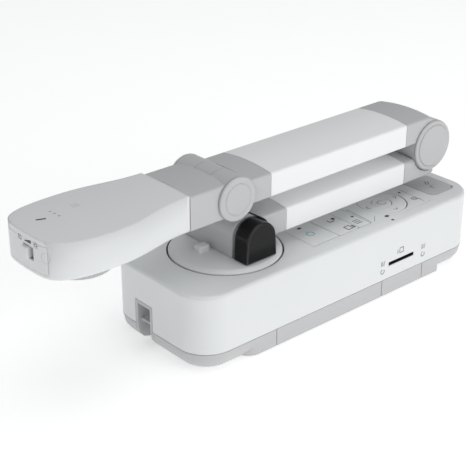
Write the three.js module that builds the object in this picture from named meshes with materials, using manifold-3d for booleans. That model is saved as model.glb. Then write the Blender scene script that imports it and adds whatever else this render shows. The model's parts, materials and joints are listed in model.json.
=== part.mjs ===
// Document camera, folded for storage: a base with a turntable, a folding arm in two lengths
// and a camera head on a tilting knuckle.
// Millimetres, +Z up. X runs along the base towards the elbow, -Y is the side with the card slot.
// The origin is on the table, under the middle of the folded camera's overall length and width.
import * as THREE from "three";
import { mergeVertices } from "three/addons/utils/BufferGeometryUtils.js";
import Module from "manifold-3d";

const wasm = await Module();
wasm.setup();

// ---- Driving dimensions (x counts from the base's head end until the last group moves it) ----

const fit = 0.3; // clearance between pieces that sit against each other
const run = 1.0; // clearance round a barrel that another piece turns about

const base = {
  length: 272,
  width: 100,
  top: 57,
  seam: 14.5, // height of the joint between the two cases
  corner: 23, // plan radius of the four corners
  wall: 2.5,
  lift: 1.5, // underside of the lower case above the table
  edge: 2.5, // rounding of the upper case's top edge
  bellyHeight: 12, // how the lower case curves in under the seam
  bellyInset: 9,
};

const guide = { start: 38, end: 231, depth: 16, noseRadius: 12, markWidth: 0.9, markDepth: 0.5 };
const paperMarks = [65.4, 169.2, 212.9]; // centre line, portrait edge and landscape edge of a sheet

const foot = { radius: 7, edge: 0.5, pocket: 1, insetX: 40, insetY: 32 };
const caseScrew = { insetX: 26, insetY: 36, shank: 1.5, head: 3.5, headHeight: 1.1, length: 13 };
const bossRadius = 4.5;

const cardSlot = { start: 175.4, width: 27, height: 3, centreZ: 25.8 };
const cardSocket = { margin: 2.6, depth: 27, bottom: 19.8, top: 29.8, cardDepth: 24 };

const lock = {
  centreY: 10.5,
  width: 18,
  top: 33,
  depth: 16,
  wall: 2.5,
  barRadius: 1.3,
  barX: 3.6,
  barZ: 17.6,
};

const portPlate = { start: 96, end: 196, bottom: 19.2, top: 42, thickness: 2.2, inset: 0.8 };
const board = { start: 94, end: 240, margin: 6, bottom: 17.9, thickness: 1.6 };
const ballast = { start: 32, end: 90, halfWidth: 38, thickness: 8 };

const panel = { start: 108.5, end: 229, halfWidth: 41, thickness: 2.5, lip: 1.8, lipThickness: 1.2 };
const keyColumns = [
  { start: 110.7, end: 136, front: "power_key", rear: "source_key" },
  { start: 136, end: 156, front: "freeze_key", rear: "focus_key" },
  { start: 156, end: 168, front: "menu_key", rear: "lamp_key" },
];
const key = { halfSpan: 38, gap: 0.5, thickness: 2.2, edge: 0.4, postRadius: 2.2, travel: 0.8 };
const pad = { x: 199, y: -19, radius: 18.5, middle: 7.5, thickness: 2.2 };
const keyBoard = { bottom: 48.4, thickness: 1.4, margin: 3.5 };
const receiver = { start: 236.5, end: 263, halfWidth: 36.5, depth: 1, corner: 5, proud: 0.1 };

const turntable = { x: 63, radius: 39.1, gap: 1.2, rise: 2, rim: 3.2, shaft: 15, depth: 7 };
const well = { wall: 2.5, floor: 2, floorTop: 48.5, bushRadius: 19.5 };
const retainer = { radius: 23, thickness: 2.5 };
const nub = { x: 46.5, y: 5, length: 9, width: 7, height: 4.5, corner: 2, edge: 0.8 };

const lowHinge = { x: 67, z: 73.6, barrel: 13, front: -17.4, rear: 32, tongue: 11.3 };
const lever = { radius: 12.6, front: -33, travel: 2, bevel: 1.2, stub: 10.6, flare: 0.8 };

const arm = {
  halfWidth: 24.75,
  edge: 1.6,
  crown: 2.2,
  wall: 2,
  tongueHalf: 8,
  frameHalf: 15,
  frameWall: 1.5,
};
const lowArm = { bottom: 68.5, crease: 85.3, rootStart: 70, sleeveStart: 96.5, sleeveEnd: 215.8 };
const highArm = { bottom: 97.8, crease: 115, sleeveStart: 81.9, sleeveEnd: 215.8 };

const elbow = {
  x: 244.7,
  z: 92.4,
  barrel: 19.4,
  cap: 19.1,
  tipRadius: 23.6, // heel of the lower arm, about the hinge
  tipAngle: 76,
  bendRadius: 20, // round-over of the upper arm above the hinge
  bendSetback: 8, // where it starts, ahead of the hinge
};
const headHinge = { x: 51.2, z: 106.1, barrel: 15.3, cap: 15.3 };
const cap = { proud: 2.5, bevel: 1 };
const pinRadius = 3;

const head = {
  neck: 12.5, // where the white shell meets the knuckle
  seam: 0.6, // open groove between the shell and the knuckle
  shoulder: -48, // widest station
  end: -93.4,
  belly: 2.2, // rounding of the underside's edge
  halfWidth: 33.5,
  bottom: 94,
  crease: 117.8,
  crown: 1.6,
  wall: 2,
};
const lens = {
  x: -55.5,
  ring: 21.6,
  ringBottom: 85.1,
  rib: 0.7,
  ribs: 32,
  tube: 16.8,
  glass: 8,
  hood: 14.6,
};
const bezel = { halfWidth: 20.4, bottom: 97.8, top: 115.6 };
const lampSwitch = {
  y: -2.9,
  z: 108,
  width: 6,
  height: 7.4,
  travel: 3,
  gap: 0.4,
  proud: 1.8,
  corner: 1.4,
  edge: 0.8,
};
const lamp = { x: -22, radius: 5, dome: 0.6 };
const sensor = { lift: 8, halfWidth: 19, thickness: 1.4, housing: 11, housingTop: 10 };

// ---- Finishes ----

function finish(color, roughness, metalness = 0) {
  return new THREE.MeshStandardMaterial({ color, roughness, metalness });
}

const white = () => finish(0xe6e9e9, 0.42);
const grey = () => finish(0xb9b9b9, 0.5);
const darkGrey = () => finish(0x9a9a9a, 0.45);
const black = () => finish(0x222222, 0.3);
const rubber = () => finish(0x2c2c2c, 0.9);
const steel = () => finish(0xc4c6c8, 0.3, 1);
const circuit = () => finish(0x2d6b45, 0.6);
const clear = () => finish(0x9fb4bf, 0.05);

// ---- Solids ----

const arcSegments = 7; // per quarter turn or curve of an outline
const fullTurn = 2 * Math.PI;

function solid(geometry) {
  geometry.deleteAttribute("normal");
  geometry.deleteAttribute("uv");
  const merged = mergeVertices(geometry, 1e-4);
  const corners = merged.attributes.position.array;
  const index = merged.index.array;
  const triangles = [];
  for (let i = 0; i < index.length; i += 3) {
    const [a, b, c] = index.subarray(i, i + 3);
    if (a !== b && b !== c && c !== a) triangles.push(a, b, c);
  }
  const vertProperties = new Float32Array(corners);
  const triVerts = new Uint32Array(triangles);
  return new wasm.Manifold(new wasm.Mesh({ numProp: 3, vertProperties, triVerts }));
}

function box(x0, x1, y0, y1, z0, z1) {
  const shape = new THREE.BoxGeometry(x1 - x0, y1 - y0, z1 - z0);
  return solid(shape.translate((x0 + x1) / 2, (y0 + y1) / 2, (z0 + z1) / 2));
}

function roundedRect(x0, x1, y0, y1, r) {
  const outline = new THREE.Shape();
  outline.absarc(x1 - r, y0 + r, r, -Math.PI / 2, 0);
  outline.absarc(x1 - r, y1 - r, r, 0, Math.PI / 2);
  outline.absarc(x0 + r, y1 - r, r, Math.PI / 2, Math.PI);
  outline.absarc(x0 + r, y0 + r, r, Math.PI, 1.5 * Math.PI);
  return outline;
}

// Extrudes an outline drawn in X and Y from z0 to z1.
function prismZ(outline, z0, z1, curveSegments = arcSegments) {
  const options = { depth: z1 - z0, bevelEnabled: false, curveSegments };
  return solid(new THREE.ExtrudeGeometry(outline, options).translate(0, 0, z0));
}

// Extrudes an outline drawn in X and Z from y0 to y1.
function prismY(outline, y0, y1, curveSegments = arcSegments) {
  const options = { depth: y1 - y0, bevelEnabled: false, curveSegments };
  return solid(new THREE.ExtrudeGeometry(outline, options).rotateX(Math.PI / 2).translate(0, y1, 0));
}

// Extrudes an outline drawn in Y and Z from x0 to x1.
function prismX(outline, x0, x1, curveSegments = arcSegments) {
  const options = { depth: x1 - x0, bevelEnabled: false, curveSegments };
  const geometry = new THREE.ExtrudeGeometry(outline, options);
  const turn = new THREE.Matrix4().makeBasis(
    new THREE.Vector3(0, 1, 0),
    new THREE.Vector3(0, 0, 1),
    new THREE.Vector3(1, 0, 0),
  );
  return solid(geometry.applyMatrix4(turn).translate(x0, 0, 0));
}

// A rounded block whose top and bottom edges are rounded as well.
function cushion(x0, x1, y0, y1, z0, z1, corner, inset, height, steps, curveSegments = arcSegments) {
  const outline = roundedRect(x0 + inset, x1 - inset, y0 + inset, y1 - inset, corner - inset);
  const options = {
    depth: z1 - z0 - 2 * height,
    bevelThickness: height,
    bevelSize: inset,
    bevelSegments: steps,
    curveSegments,
  };
  return solid(new THREE.ExtrudeGeometry(outline, options).translate(0, 0, z0 + height));
}

function turned(profile, segments) {
  const points = profile.map(([radius, height]) => new THREE.Vector2(radius, height));
  return solid(new THREE.LatheGeometry(points, segments).rotateX(Math.PI / 2));
}

function rod(radius, z0, z1, segments = 24) {
  return turned([[0, z0], [radius, z0], [radius, z1], [0, z1]], segments);
}

// A round bar along Y, centred on the hinge axis at x and z.
function rodY(x, z, radius, y0, y1, segments = 40) {
  const bar = new THREE.CylinderGeometry(radius, radius, y1 - y0, segments);
  return solid(bar.translate(x, (y0 + y1) / 2, z));
}

// A turned disc on the side of a hinge; side is -1 for the front and 1 for the rear.
function sideCap(hinge, radius, inner, side) {
  const face = cap.proud - fit;
  const step = face - 0.5;
  const profile = [[0, 0], [radius, 0], [radius, step - cap.bevel], [radius - cap.bevel, step],
    [inner, step], [inner - 0.5, face], [0, face]];
  const disc = turned(profile, 40);
  return disc.rotate([-side * 90, 0, 0]).translate([hinge.x, side * (arm.halfWidth + fit), hinge.z]);
}

function piece(parent, name, body, material) {
  const { vertProperties, triVerts } = body.getMesh();
  const geometry = new THREE.BufferGeometry();
  geometry.setAttribute("position", new THREE.BufferAttribute(vertProperties, 3));
  geometry.setIndex(new THREE.BufferAttribute(triVerts, 1));
  geometry.computeVertexNormals();
  const mesh = new THREE.Mesh(geometry, material);
  mesh.name = name;
  parent.add(mesh);
}

const join = (first, ...others) => others.reduce((sum, other) => sum.add(other), first);
const cut = (first, ...others) => others.reduce((left, other) => left.subtract(other), first);

// ---- Base ----

const halfBase = base.width / 2;
const seamBelow = base.seam - fit / 2;
const seamAbove = base.seam + fit / 2;
const caseFloor = base.lift + base.wall;
const ceiling = base.top - base.wall;
const far = 400; // reach of a cutting block that only has to clear the part

const screwPlaces = [];
const footPlaces = [];
for (const nearEnd of [true, false]) {
  for (const side of [-1, 1]) {
    const fromEnd = (inset) => (nearEnd ? inset : base.length - inset);
    screwPlaces.push([fromEnd(caseScrew.insetX), side * caseScrew.insetY]);
    footPlaces.push([fromEnd(foot.insetX), side * foot.insetY]);
  }
}

// The lock recess is open through the head end and the underside.
const lockSide = lock.width / 2 + fit;
const lockFront = lock.centreY - lockSide;
const lockRear = lock.centreY + lockSide;
const lockCut = box(-1, lock.depth + fit, lockFront, lockRear, 0, lock.top + fit);

function lowerShape(inset, steps = 3) {
  const { length, corner, bellyInset, bellyHeight, lift } = base;
  const z0 = lift + inset;
  return cushion(inset, length - inset, inset - halfBase, halfBase - inset, z0, z0 + 80,
    corner - inset, bellyInset - inset, bellyHeight - inset, steps, 2 * steps);
}

function lowerCase() {
  const { start, end, depth, noseRadius } = guide;
  const outline = new THREE.Shape();
  outline.moveTo(end, -halfBase);
  outline.lineTo(end, depth - halfBase);
  outline.lineTo(start, depth - halfBase);
  outline.lineTo(start, noseRadius - halfBase);
  outline.absarc(start + noseRadius, noseRadius - halfBase, noseRadius, Math.PI, 1.5 * Math.PI);
  const rail = prismZ(outline, base.lift, seamBelow);
  const below = box(-far, far, -far, far, 0, seamBelow);
  let body = cut(join(lowerShape(0).intersect(below), rail), lowerShape(base.wall, 2), lockCut);
  for (const x of paperMarks) {
    const half = guide.markWidth / 2;
    body = cut(body, box(x - half, x + half, -far, guide.markDepth - halfBase, 0, base.seam));
  }
  for (const [x, y] of footPlaces) {
    body = cut(body, rod(foot.radius + fit, 0, base.lift + foot.pocket).translate([x, y, 0]));
  }
  for (const [x, y] of screwPlaces) {
    const seat = rod(caseScrew.head + fit, 0, base.lift + caseScrew.headHeight + fit, 16);
    body = cut(body, seat.translate([x, y, 0]), rod(caseScrew.shank + fit, 0, far, 10).translate([x, y, 0]));
  }
  return body;
}

function upperCase() {
  const { length, corner, edge, wall, top } = base;
  const outer = cushion(0, length, -halfBase, halfBase, -top, top, corner, edge, edge, 3)
    .intersect(box(-far, far, -far, far, seamAbove, far));
  const inside = roundedRect(wall, length - wall, wall - halfBase, halfBase - wall, corner - wall);
  const wellRadius = turntable.radius + turntable.gap;
  const wellWall = rod(wellRadius + well.wall, well.floorTop - well.floor, ceiling + fit, 48);
  let body = join(cut(outer, prismZ(inside, 0, ceiling, 4)), wellWall.translate([turntable.x, 0, 0]));
  for (const [x, y] of screwPlaces) {
    const boss = rod(bossRadius, caseFloor + fit, ceiling + fit, 12);
    const hole = rod(caseScrew.shank + fit, 0, base.lift + caseScrew.length + 1, 10);
    body = join(body, cut(boss, hole).translate([x, y, 0]));
  }
  const openWell = rod(wellRadius, well.floorTop, far, 48);
  const shaftHole = rod(well.bushRadius + fit, 0, far, 32);
  const slotBottom = cardSlot.centreZ - cardSlot.height / 2;
  const slotTop = cardSlot.centreZ + cardSlot.height / 2;
  const rearWall = box(0, far, halfBase - wall - 1, far, 0, far);
  const ports = box(portPlate.start, portPlate.end, 0, far, portPlate.bottom, portPlate.top);
  const panelOutline = roundedRect(panel.start, panel.end, -panel.halfWidth, panel.halfWidth, 2);
  const infrared = roundedRect(receiver.start, receiver.end, -receiver.halfWidth, receiver.halfWidth,
    receiver.corner);
  body = cut(
    body,
    openWell.translate([turntable.x, 0, 0]),
    shaftHole.translate([turntable.x, 0, 0]),
    lockCut,
    box(cardSlot.start, cardSlot.start + cardSlot.width, -far, 0, slotBottom, slotTop),
    ports.intersect(rearWall),
    prismZ(panelOutline, ceiling - 1, far, 2),
    prismZ(infrared, top - receiver.depth, far, 4),
  );
  return body;
}

function lockBezel() {
  const side = lock.width / 2;
  const inner = side - lock.wall;
  const y = lock.centreY;
  const shell = box(0, lock.depth, y - side, y + side, 0, lock.top).intersect(lowerShape(0));
  const hollow = box(-1, lock.depth - lock.wall, y - inner, y + inner, -1, lock.top - lock.wall);
  const bar = rodY(lock.barX, lock.barZ, lock.barRadius, y - inner - 1, y + inner + 1, 12);
  return join(cut(shell, hollow), bar);
}

function controlPanel() {
  const { start, end, halfWidth, thickness, lip, lipThickness } = panel;
  const plateBottom = base.top - thickness;
  const half = halfWidth - fit;
  const outline = roundedRect(start + fit, end - fit, -half, half, 2 - fit);
  const plate = prismZ(outline, plateBottom, base.top, 2);
  const flangeTop = ceiling - fit;
  const flangeBottom = flangeTop - lipThickness;
  const reach = halfWidth + lip;
  const flange = box(start - lip, end + lip, -reach, reach, flangeBottom, flangeTop);
  const spacer = box(start + fit, end - fit, -half, half, flangeBottom, plateBottom);
  const keysEnd = keyColumns[keyColumns.length - 1].end;
  const keyWindow = box(keyColumns[0].start, keysEnd, -key.halfSpan, key.halfSpan, 0, far);
  const padHole = rod(pad.radius + key.gap, 0, far, 40).translate([pad.x, pad.y, 0]);
  return cut(join(plate, flange, spacer), keyWindow, padHole);
}

function keyCap(column, side) {
  const { gap, halfSpan, thickness, edge, postRadius } = key;
  const inner = gap / 2;
  const [y0, y1] = side < 0 ? [gap - halfSpan, -inner] : [inner, halfSpan - gap];
  const x0 = column.start + gap / 2;
  const x1 = column.end - gap / 2;
  const plate = cushion(x0, x1, y0, y1, base.top - thickness, base.top, 1.2, edge, edge, 1, 2);
  const post = rod(postRadius, padPostBottom, base.top - thickness / 2, 8);
  return join(plate, post.translate([(x0 + x1) / 2, (y0 + y1) / 2, 0]));
}

const padPostBottom = keyBoard.bottom + keyBoard.thickness + key.travel + fit;

function arrowPad() {
  const { radius, middle, thickness } = pad;
  const inner = middle + key.gap;
  const bottom = base.top - thickness;
  const ring = turned([[inner, bottom], [radius, bottom], [radius, base.top - key.edge],
    [radius - key.edge, base.top], [inner, base.top], [inner, bottom]], 40);
  const posts = [0, 1, 2, 3].map((i) => {
    const angle = i * Math.PI / 2;
    const reach = (radius + middle) / 2;
    return rod(key.postRadius, padPostBottom, base.top - 1, 8)
      .translate([reach * Math.cos(angle), reach * Math.sin(angle), 0]);
  });
  return join(ring, ...posts).translate([pad.x, pad.y, 0]);
}

function enterKey() {
  const { middle, thickness } = pad;
  const bottom = base.top - thickness;
  const disc = turned([[0, bottom], [middle, bottom], [middle, base.top - key.edge],
    [middle - key.edge, base.top], [0, base.top]], 28);
  const post = rod(key.postRadius, padPostBottom, base.top - 1, 12);
  return join(disc, post).translate([pad.x, pad.y, 0]);
}

// A socket body that shows a rectangular mouth towards +Y.
function socket(x0, x1, z0, z1, mouth, depth) {
  const face = halfBase - portPlate.inset;
  const hollow = box(x0 + mouth, x1 - mouth, face - depth, far, z0 + mouth, z1 - mouth);
  return cut(box(x0, x1, face - depth - 4, face, z0, z1), hollow);
}

const portRow = [
  { name: "power_inlet", start: 101, end: 112, top: 31.5, mouth: 2, depth: 9 },
  { name: "usb_socket", start: 119, end: 131.5, top: 31.6, mouth: 1.4, depth: 9 },
  { name: "monitor_socket_out", start: 137, end: 157, top: 32, mouth: 1.6, depth: 6 },
  { name: "monitor_socket_in", start: 166, end: 186, top: 32, mouth: 1.6, depth: 6 },
];
const portBottom = board.bottom + board.thickness + 2 * fit;

function rearPlate() {
  const { start, end, bottom, top, thickness, inset } = portPlate;
  const face = halfBase - inset;
  let plate = box(start + fit, end - fit, face - thickness, face, bottom + fit, top - fit);
  for (const port of portRow) {
    const opening = box(port.start - fit, port.end + fit, 0, far, portBottom - fit, port.top + fit);
    plate = cut(plate, opening);
  }
  return plate;
}

function rubberFoot() {
  const { radius, edge, pocket } = foot;
  const top = base.lift + pocket - fit;
  return turned([[0, 0], [radius - edge, 0], [radius, edge], [radius, top], [0, top]], 24);
}

function cardReader() {
  const { start, width, height, centreZ } = cardSlot;
  const { margin, depth, bottom, top, cardDepth } = cardSocket;
  const front = base.wall + fit - halfBase;
  const block = box(start - margin, start + width + margin, front, front + depth, bottom, top);
  const half = height / 2;
  const hollow = box(start, start + width, -far, front + cardDepth, centreZ - half, centreZ + half);
  return cut(block, hollow);
}

function infraredWindow() {
  const { start, end, halfWidth, depth, corner, proud } = receiver;
  const half = halfWidth - fit;
  const outline = roundedRect(start + fit, end - fit, -half, half, corner - fit);
  return prismZ(outline, base.top - depth + fit, base.top + proud, 4);
}

function buildKeyBoard() {
  const { bottom, thickness, margin } = keyBoard;
  const half = panel.halfWidth - margin;
  return box(panel.start + margin, panel.end - margin, -half, half, bottom, bottom + thickness);
}

function swivelBush() {
  const inner = turntable.shaft + fit;
  const bottom = well.floorTop - well.floor;
  const top = well.floorTop + fit;
  const profile = [[inner, bottom], [well.bushRadius, bottom], [well.bushRadius, top], [inner, top],
    [inner, bottom]];
  return turned(profile, 32).translate([turntable.x, 0, 0]);
}

function buildBase() {
  const group = new THREE.Group();
  piece(group, "lower_case", lowerCase(), grey());
  piece(group, "upper_case", upperCase(), white());
  footPlaces.forEach(([x, y], i) => {
    piece(group, `foot_${i + 1}`, rubberFoot().translate([x, y, 0]), rubber());
  });
  piece(group, "lock_bezel", lockBezel(), grey());
  piece(group, "control_panel", controlPanel(), white());
  for (const column of keyColumns) {
    piece(group, column.front, keyCap(column, -1), white());
    piece(group, column.rear, keyCap(column, 1), white());
  }
  piece(group, "arrow_pad", arrowPad(), white());
  piece(group, "enter_key", enterKey(), white());
  piece(group, "key_board", buildKeyBoard(), circuit());
  piece(group, "receiver_window", infraredWindow(), darkGrey());
  piece(group, "card_socket", cardReader(), black());
  piece(group, "port_plate", rearPlate(), darkGrey());
  for (const port of portRow) {
    const body = socket(port.start, port.end, portBottom, port.top, port.mouth, port.depth);
    piece(group, port.name, body, black());
  }
  const boardTop = board.bottom + board.thickness;
  const boardHalf = halfBase - board.margin;
  const mainBoard = box(board.start, board.end, -boardHalf, boardHalf, board.bottom, boardTop);
  piece(group, "main_board", mainBoard, circuit());
  const plateFloor = caseFloor + fit;
  const plate = box(ballast.start, ballast.end, -ballast.halfWidth, ballast.halfWidth, plateFloor,
    plateFloor + ballast.thickness);
  piece(group, "ballast_plate", plate, steel());
  piece(group, "swivel_bush", swivelBush(), black());
  return group;
}

// ---- Turntable and lower hinge ----

const discTop = base.top + turntable.rise;
const shaftBottom = well.floorTop - well.floor - retainer.thickness - 2 * fit;

function turntableDisc() {
  const { radius, rim, shaft, depth, x, rise } = turntable;
  const bottom = base.top - depth;
  const disc = turned([[0, shaftBottom], [shaft, shaftBottom], [shaft, bottom], [radius, bottom],
    [radius, discTop - rise + 0.4], [radius - rim, discTop], [0, discTop]], 48);
  const halfLength = nub.length / 2;
  const halfWidth = nub.width / 2;
  const stop = cushion(nub.x - halfLength, nub.x + halfLength, nub.y - halfWidth, nub.y + halfWidth,
    discTop - 2, discTop + nub.height, nub.corner, nub.edge, nub.edge, 2, 3);
  return join(disc.translate([x, 0, 0]), stop);
}

// An upright arch: sides down to z0, splayed by flare, and a round top about the hinge axis.
function archOutline(hinge, radius, z0, flare = 0) {
  const outline = new THREE.Shape();
  outline.moveTo(hinge.x - radius - flare, z0);
  outline.lineTo(hinge.x + radius + flare, z0);
  outline.absarc(hinge.x, hinge.z, radius, 0, Math.PI);
  return outline;
}

function hingeBracket() {
  const { x, z, barrel, front, rear, tongue } = lowHinge;
  const z0 = discTop + fit;
  const half = arm.tongueHalf + fit;
  const stem = 5 + run;
  const housing = prismY(archOutline(lowHinge, barrel, z0), front, rear, 20);
  const stub = prismY(archOutline(lowHinge, lever.stub, z0), front - lever.travel - 3, front + 1, 16);
  return cut(
    join(housing, stub),
    rodY(x, z, tongue + fit, -half, half),
    box(x - stem, far, -half, half, z - stem, far),
    rodY(x, z, pinRadius + fit, -far, far, 20),
  );
}

function lockLever() {
  const { radius, front, travel, bevel, stub, flare } = lever;
  const rear = lowHinge.front - travel - fit;
  const z0 = discTop + fit;
  const outline = archOutline(lowHinge, radius - bevel, z0 + bevel, flare);
  const options = {
    depth: rear - front - bevel,
    bevelThickness: bevel,
    bevelSize: bevel,
    bevelSegments: 3,
    curveSegments: 16,
  };
  const block = new THREE.ExtrudeGeometry(outline, options).rotateX(Math.PI / 2).translate(0, rear, 0);
  const keep = box(-far, far, -far, rear, z0, far);
  const pocket = prismY(archOutline(lowHinge, stub + fit, z0 - 1), front + 4, far, 16);
  return cut(solid(block).intersect(keep), pocket);
}

function buildTurntable() {
  const group = new THREE.Group();
  piece(group, "turntable_disc", turntableDisc(), grey());
  piece(group, "hinge_bracket", hingeBracket(), grey());
  const washerTop = shaftBottom - fit;
  const washer = rod(retainer.radius, washerTop - retainer.thickness, washerTop, 32);
  piece(group, "swivel_retainer", washer.translate([turntable.x, 0, 0]), steel());
  const { x, z, front, rear } = lowHinge;
  piece(group, "lower_hinge_pin", rodY(x, z, pinRadius, front + 1, rear - fit, 20), steel());
  const { radius } = lever;
  const disc = turned([[0, 0], [radius, 0], [radius, 1.4], [radius - 1, 2.2], [0, 2.2]], 36);
  piece(group, "hinge_end_cap", disc.rotate([-90, 0, 0]).translate([x, rear + fit, z]), grey());
  return group;
}

// ---- Arms ----

function armSection(halfWidth, bottom, crease, crown, edge) {
  const outline = new THREE.Shape();
  outline.moveTo(edge - halfWidth, bottom);
  outline.lineTo(halfWidth - edge, bottom);
  outline.quadraticCurveTo(halfWidth, bottom, halfWidth, bottom + edge);
  outline.lineTo(halfWidth, crease - edge);
  outline.quadraticCurveTo(halfWidth, crease, halfWidth - edge, crease + edge / 6);
  outline.quadraticCurveTo(0, crease + 2 * crown - edge / 6, edge - halfWidth, crease + edge / 6);
  outline.quadraticCurveTo(-halfWidth, crease, -halfWidth, crease - edge);
  outline.lineTo(-halfWidth, bottom + edge);
  outline.quadraticCurveTo(-halfWidth, bottom, edge - halfWidth, bottom);
  return outline;
}

const armCurve = 6;

function armBlock(level, x0, x1, inset = 0) {
  const { halfWidth, crown, edge } = arm;
  const section = armSection(halfWidth - inset, level.bottom + inset, level.crease - inset, crown, edge);
  return prismX(section, x0, x1, armCurve);
}

const sleeve = (level) => cut(armBlock(level, level.sleeveStart + fit / 2, level.sleeveEnd - fit / 2),
  armBlock(level, -far, far, arm.wall));

// The steel tube inside an arm; clear widens it into the pocket that holds it.
function frameTube(level, x0, x1, clear) {
  const middle = (level.bottom + level.crease) / 2;
  const half = arm.frameHalf + clear;
  const tall = (level.crease - level.bottom) / 2 - arm.wall - 2 + clear;
  return box(x0 - clear, x1 + clear, -half, half, middle - tall, middle + tall);
}

function armFrame(level, x0, x1) {
  return cut(frameTube(level, x0, x1, 0), frameTube(level, -far, far, -arm.frameWall));
}

const lowFrame = [lowArm.sleeveStart - 10, lowArm.sleeveEnd + 6];
const highFrame = [highArm.sleeveStart - 10, highArm.sleeveEnd + 6];

function lowArmRoot() {
  const { x, z, tongue, barrel } = lowHinge;
  const half = arm.tongueHalf;
  const block = armBlock(lowArm, lowArm.rootStart, lowArm.sleeveStart - fit / 2);
  const body = cut(block, rodY(x, z, barrel + run, -far, far), frameTube(lowArm, ...lowFrame, fit));
  const stemTop = lowArm.bottom + 2 * (z - lowArm.bottom);
  const stem = box(x, x + barrel + run + 2, -half, half, lowArm.bottom, stemTop);
  const pinHole = rodY(x, z, pinRadius + fit, -far, far, 20);
  return cut(join(body, rodY(x, z, tongue, -half, half), stem), pinHole);
}

function lowArmTip() {
  const { x, z, barrel, tipRadius, tipAngle } = elbow;
  const half = arm.tongueHalf;
  const angle = (tipAngle * Math.PI) / 180;
  const block = armBlock(lowArm, lowArm.sleeveEnd + fit / 2, x);
  const bottomArc = new THREE.Shape();
  bottomArc.moveTo(x, z);
  bottomArc.lineTo(x - fit, lowArm.bottom);
  bottomArc.absarc(x, z, z - lowArm.bottom, -Math.PI / 2, -angle);
  const toe = prismY(bottomArc, arm.edge - arm.halfWidth, arm.halfWidth - arm.edge);
  const scooped = cut(join(block, toe), rodY(x, z, barrel + run, -far, far, 48));
  const web = new THREE.Shape();
  web.moveTo(x - tipRadius, lowArm.bottom + 2);
  web.lineTo(x, lowArm.bottom + 1);
  web.lineTo(x, z);
  web.lineTo(x - tipRadius, lowArm.crease - 1);
  const tongue = join(rodY(x, z, barrel, -half, half, 48), prismY(web, -half, half));
  const pinHole = rodY(x, z, pinRadius + fit, -far, far, 20);
  return cut(join(scooped, tongue), pinHole, frameTube(lowArm, ...lowFrame, fit));
}

// The upper arm's elbow end: the arm's top runs on and bends down onto the round cheeks.
// The bend over the elbow keeps the arm's crown: it is the crowned section tipped step by step about a centre.
function highArmRoot() {
  const { x, z, barrel } = elbow;
  const w = arm.halfWidth;
  const bendStart = x - elbow.bendSetback;
  const bendCentre = highArm.crease + arm.crown - elbow.bendRadius;
  const side = new THREE.Shape();
  side.moveTo(bendStart - 4, highArm.bottom);
  side.lineTo(x, z);
  side.lineTo(x + barrel * 0.4, z + barrel * 0.9);
  side.lineTo(x + barrel * 0.4, z + 2 * barrel);
  side.lineTo(bendStart - 4, z + 2 * barrel);
  let bend = prismY(side, -w, w);
  const crowned = armSection(w, -far, highArm.crease - bendCentre, arm.crown, arm.edge);
  for (let turn = 0; turn <= 63; turn += 9) {
    const tipped = prismX(crowned, -far, far, armCurve).rotate([0, turn, 0]);
    bend = bend.intersect(tipped.translate([bendStart, 0, bendCentre]));
  }
  const block = armBlock(highArm, highArm.sleeveEnd + fit / 2, bendStart);
  const slot = arm.tongueHalf + fit;
  return cut(
    join(block, bend, rodY(x, z, barrel, -w, w, 48)),
    rodY(x, z, barrel + run, -slot, slot, 48),
    frameTube(highArm, ...highFrame, fit),
    rodY(x, z, pinRadius + fit, -far, far, 20),
  );
}

function highArmTip() {
  const { x, z, barrel } = headHinge;
  const half = arm.tongueHalf;
  const block = armBlock(highArm, x, highArm.sleeveStart - fit / 2);
  const pocket = frameTube(highArm, ...highFrame, fit);
  const scooped = cut(block, rodY(x, z, barrel + 2 * fit, -far, far, 48), pocket);
  const stem = box(x, x + barrel + run + 3, -half, half, highArm.bottom, z + barrel / 2);
  const pinHole = rodY(x, z, pinRadius + fit, -far, far, 20);
  return cut(join(scooped, rodY(x, z, barrel, -half, half, 48), stem), pinHole);
}

function buildLowerArm() {
  const group = new THREE.Group();
  piece(group, "lower_arm_root", lowArmRoot(), grey());
  piece(group, "lower_arm_sleeve", sleeve(lowArm), white());
  piece(group, "lower_arm_tip", lowArmTip(), grey());
  piece(group, "lower_arm_frame", armFrame(lowArm, ...lowFrame), steel());
  return group;
}

function hingePin(hinge) {
  const w = arm.halfWidth;
  return rodY(hinge.x, hinge.z, pinRadius, -w, w, 20);
}

function buildElbowHub() {
  const group = new THREE.Group();
  piece(group, "elbow_pin", hingePin(elbow), steel());
  piece(group, "elbow_cap_front", sideCap(elbow, elbow.cap, elbow.cap - 3.4, -1), grey());
  piece(group, "elbow_cap_rear", sideCap(elbow, elbow.cap, elbow.cap - 3.4, 1), grey());
  return group;
}

function buildUpperArm() {
  const group = new THREE.Group();
  piece(group, "upper_arm_root", highArmRoot(), grey());
  piece(group, "upper_arm_sleeve", sleeve(highArm), white());
  piece(group, "upper_arm_tip", highArmTip(), grey());
  piece(group, "upper_arm_frame", armFrame(highArm, ...highFrame), steel());
  return group;
}

// ---- Head ----

// Plan outline of the head, widening from the neck to a broad rounded end.
function headOutline(inset, neck) {
  const w = head.halfWidth - inset;
  const n = arm.halfWidth - inset;
  const tip = head.end + inset;
  const outline = new THREE.Shape();
  outline.moveTo(neck, n);
  outline.bezierCurveTo(neck - 28, n - 0.6, head.shoulder + 26, w, head.shoulder, w);
  outline.bezierCurveTo(head.shoulder - 26, w, tip + 3.2, w - 4, tip + 1.2, w - 16);
  outline.bezierCurveTo(tip, w - 23, tip, 23 - w, tip + 1.2, 16 - w);
  outline.bezierCurveTo(tip + 3.2, 4 - w, head.shoulder - 26, -w, head.shoulder, -w);
  outline.bezierCurveTo(head.shoulder + 26, -w, neck - 28, 0.6 - n, neck, -n);
  return outline;
}

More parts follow.
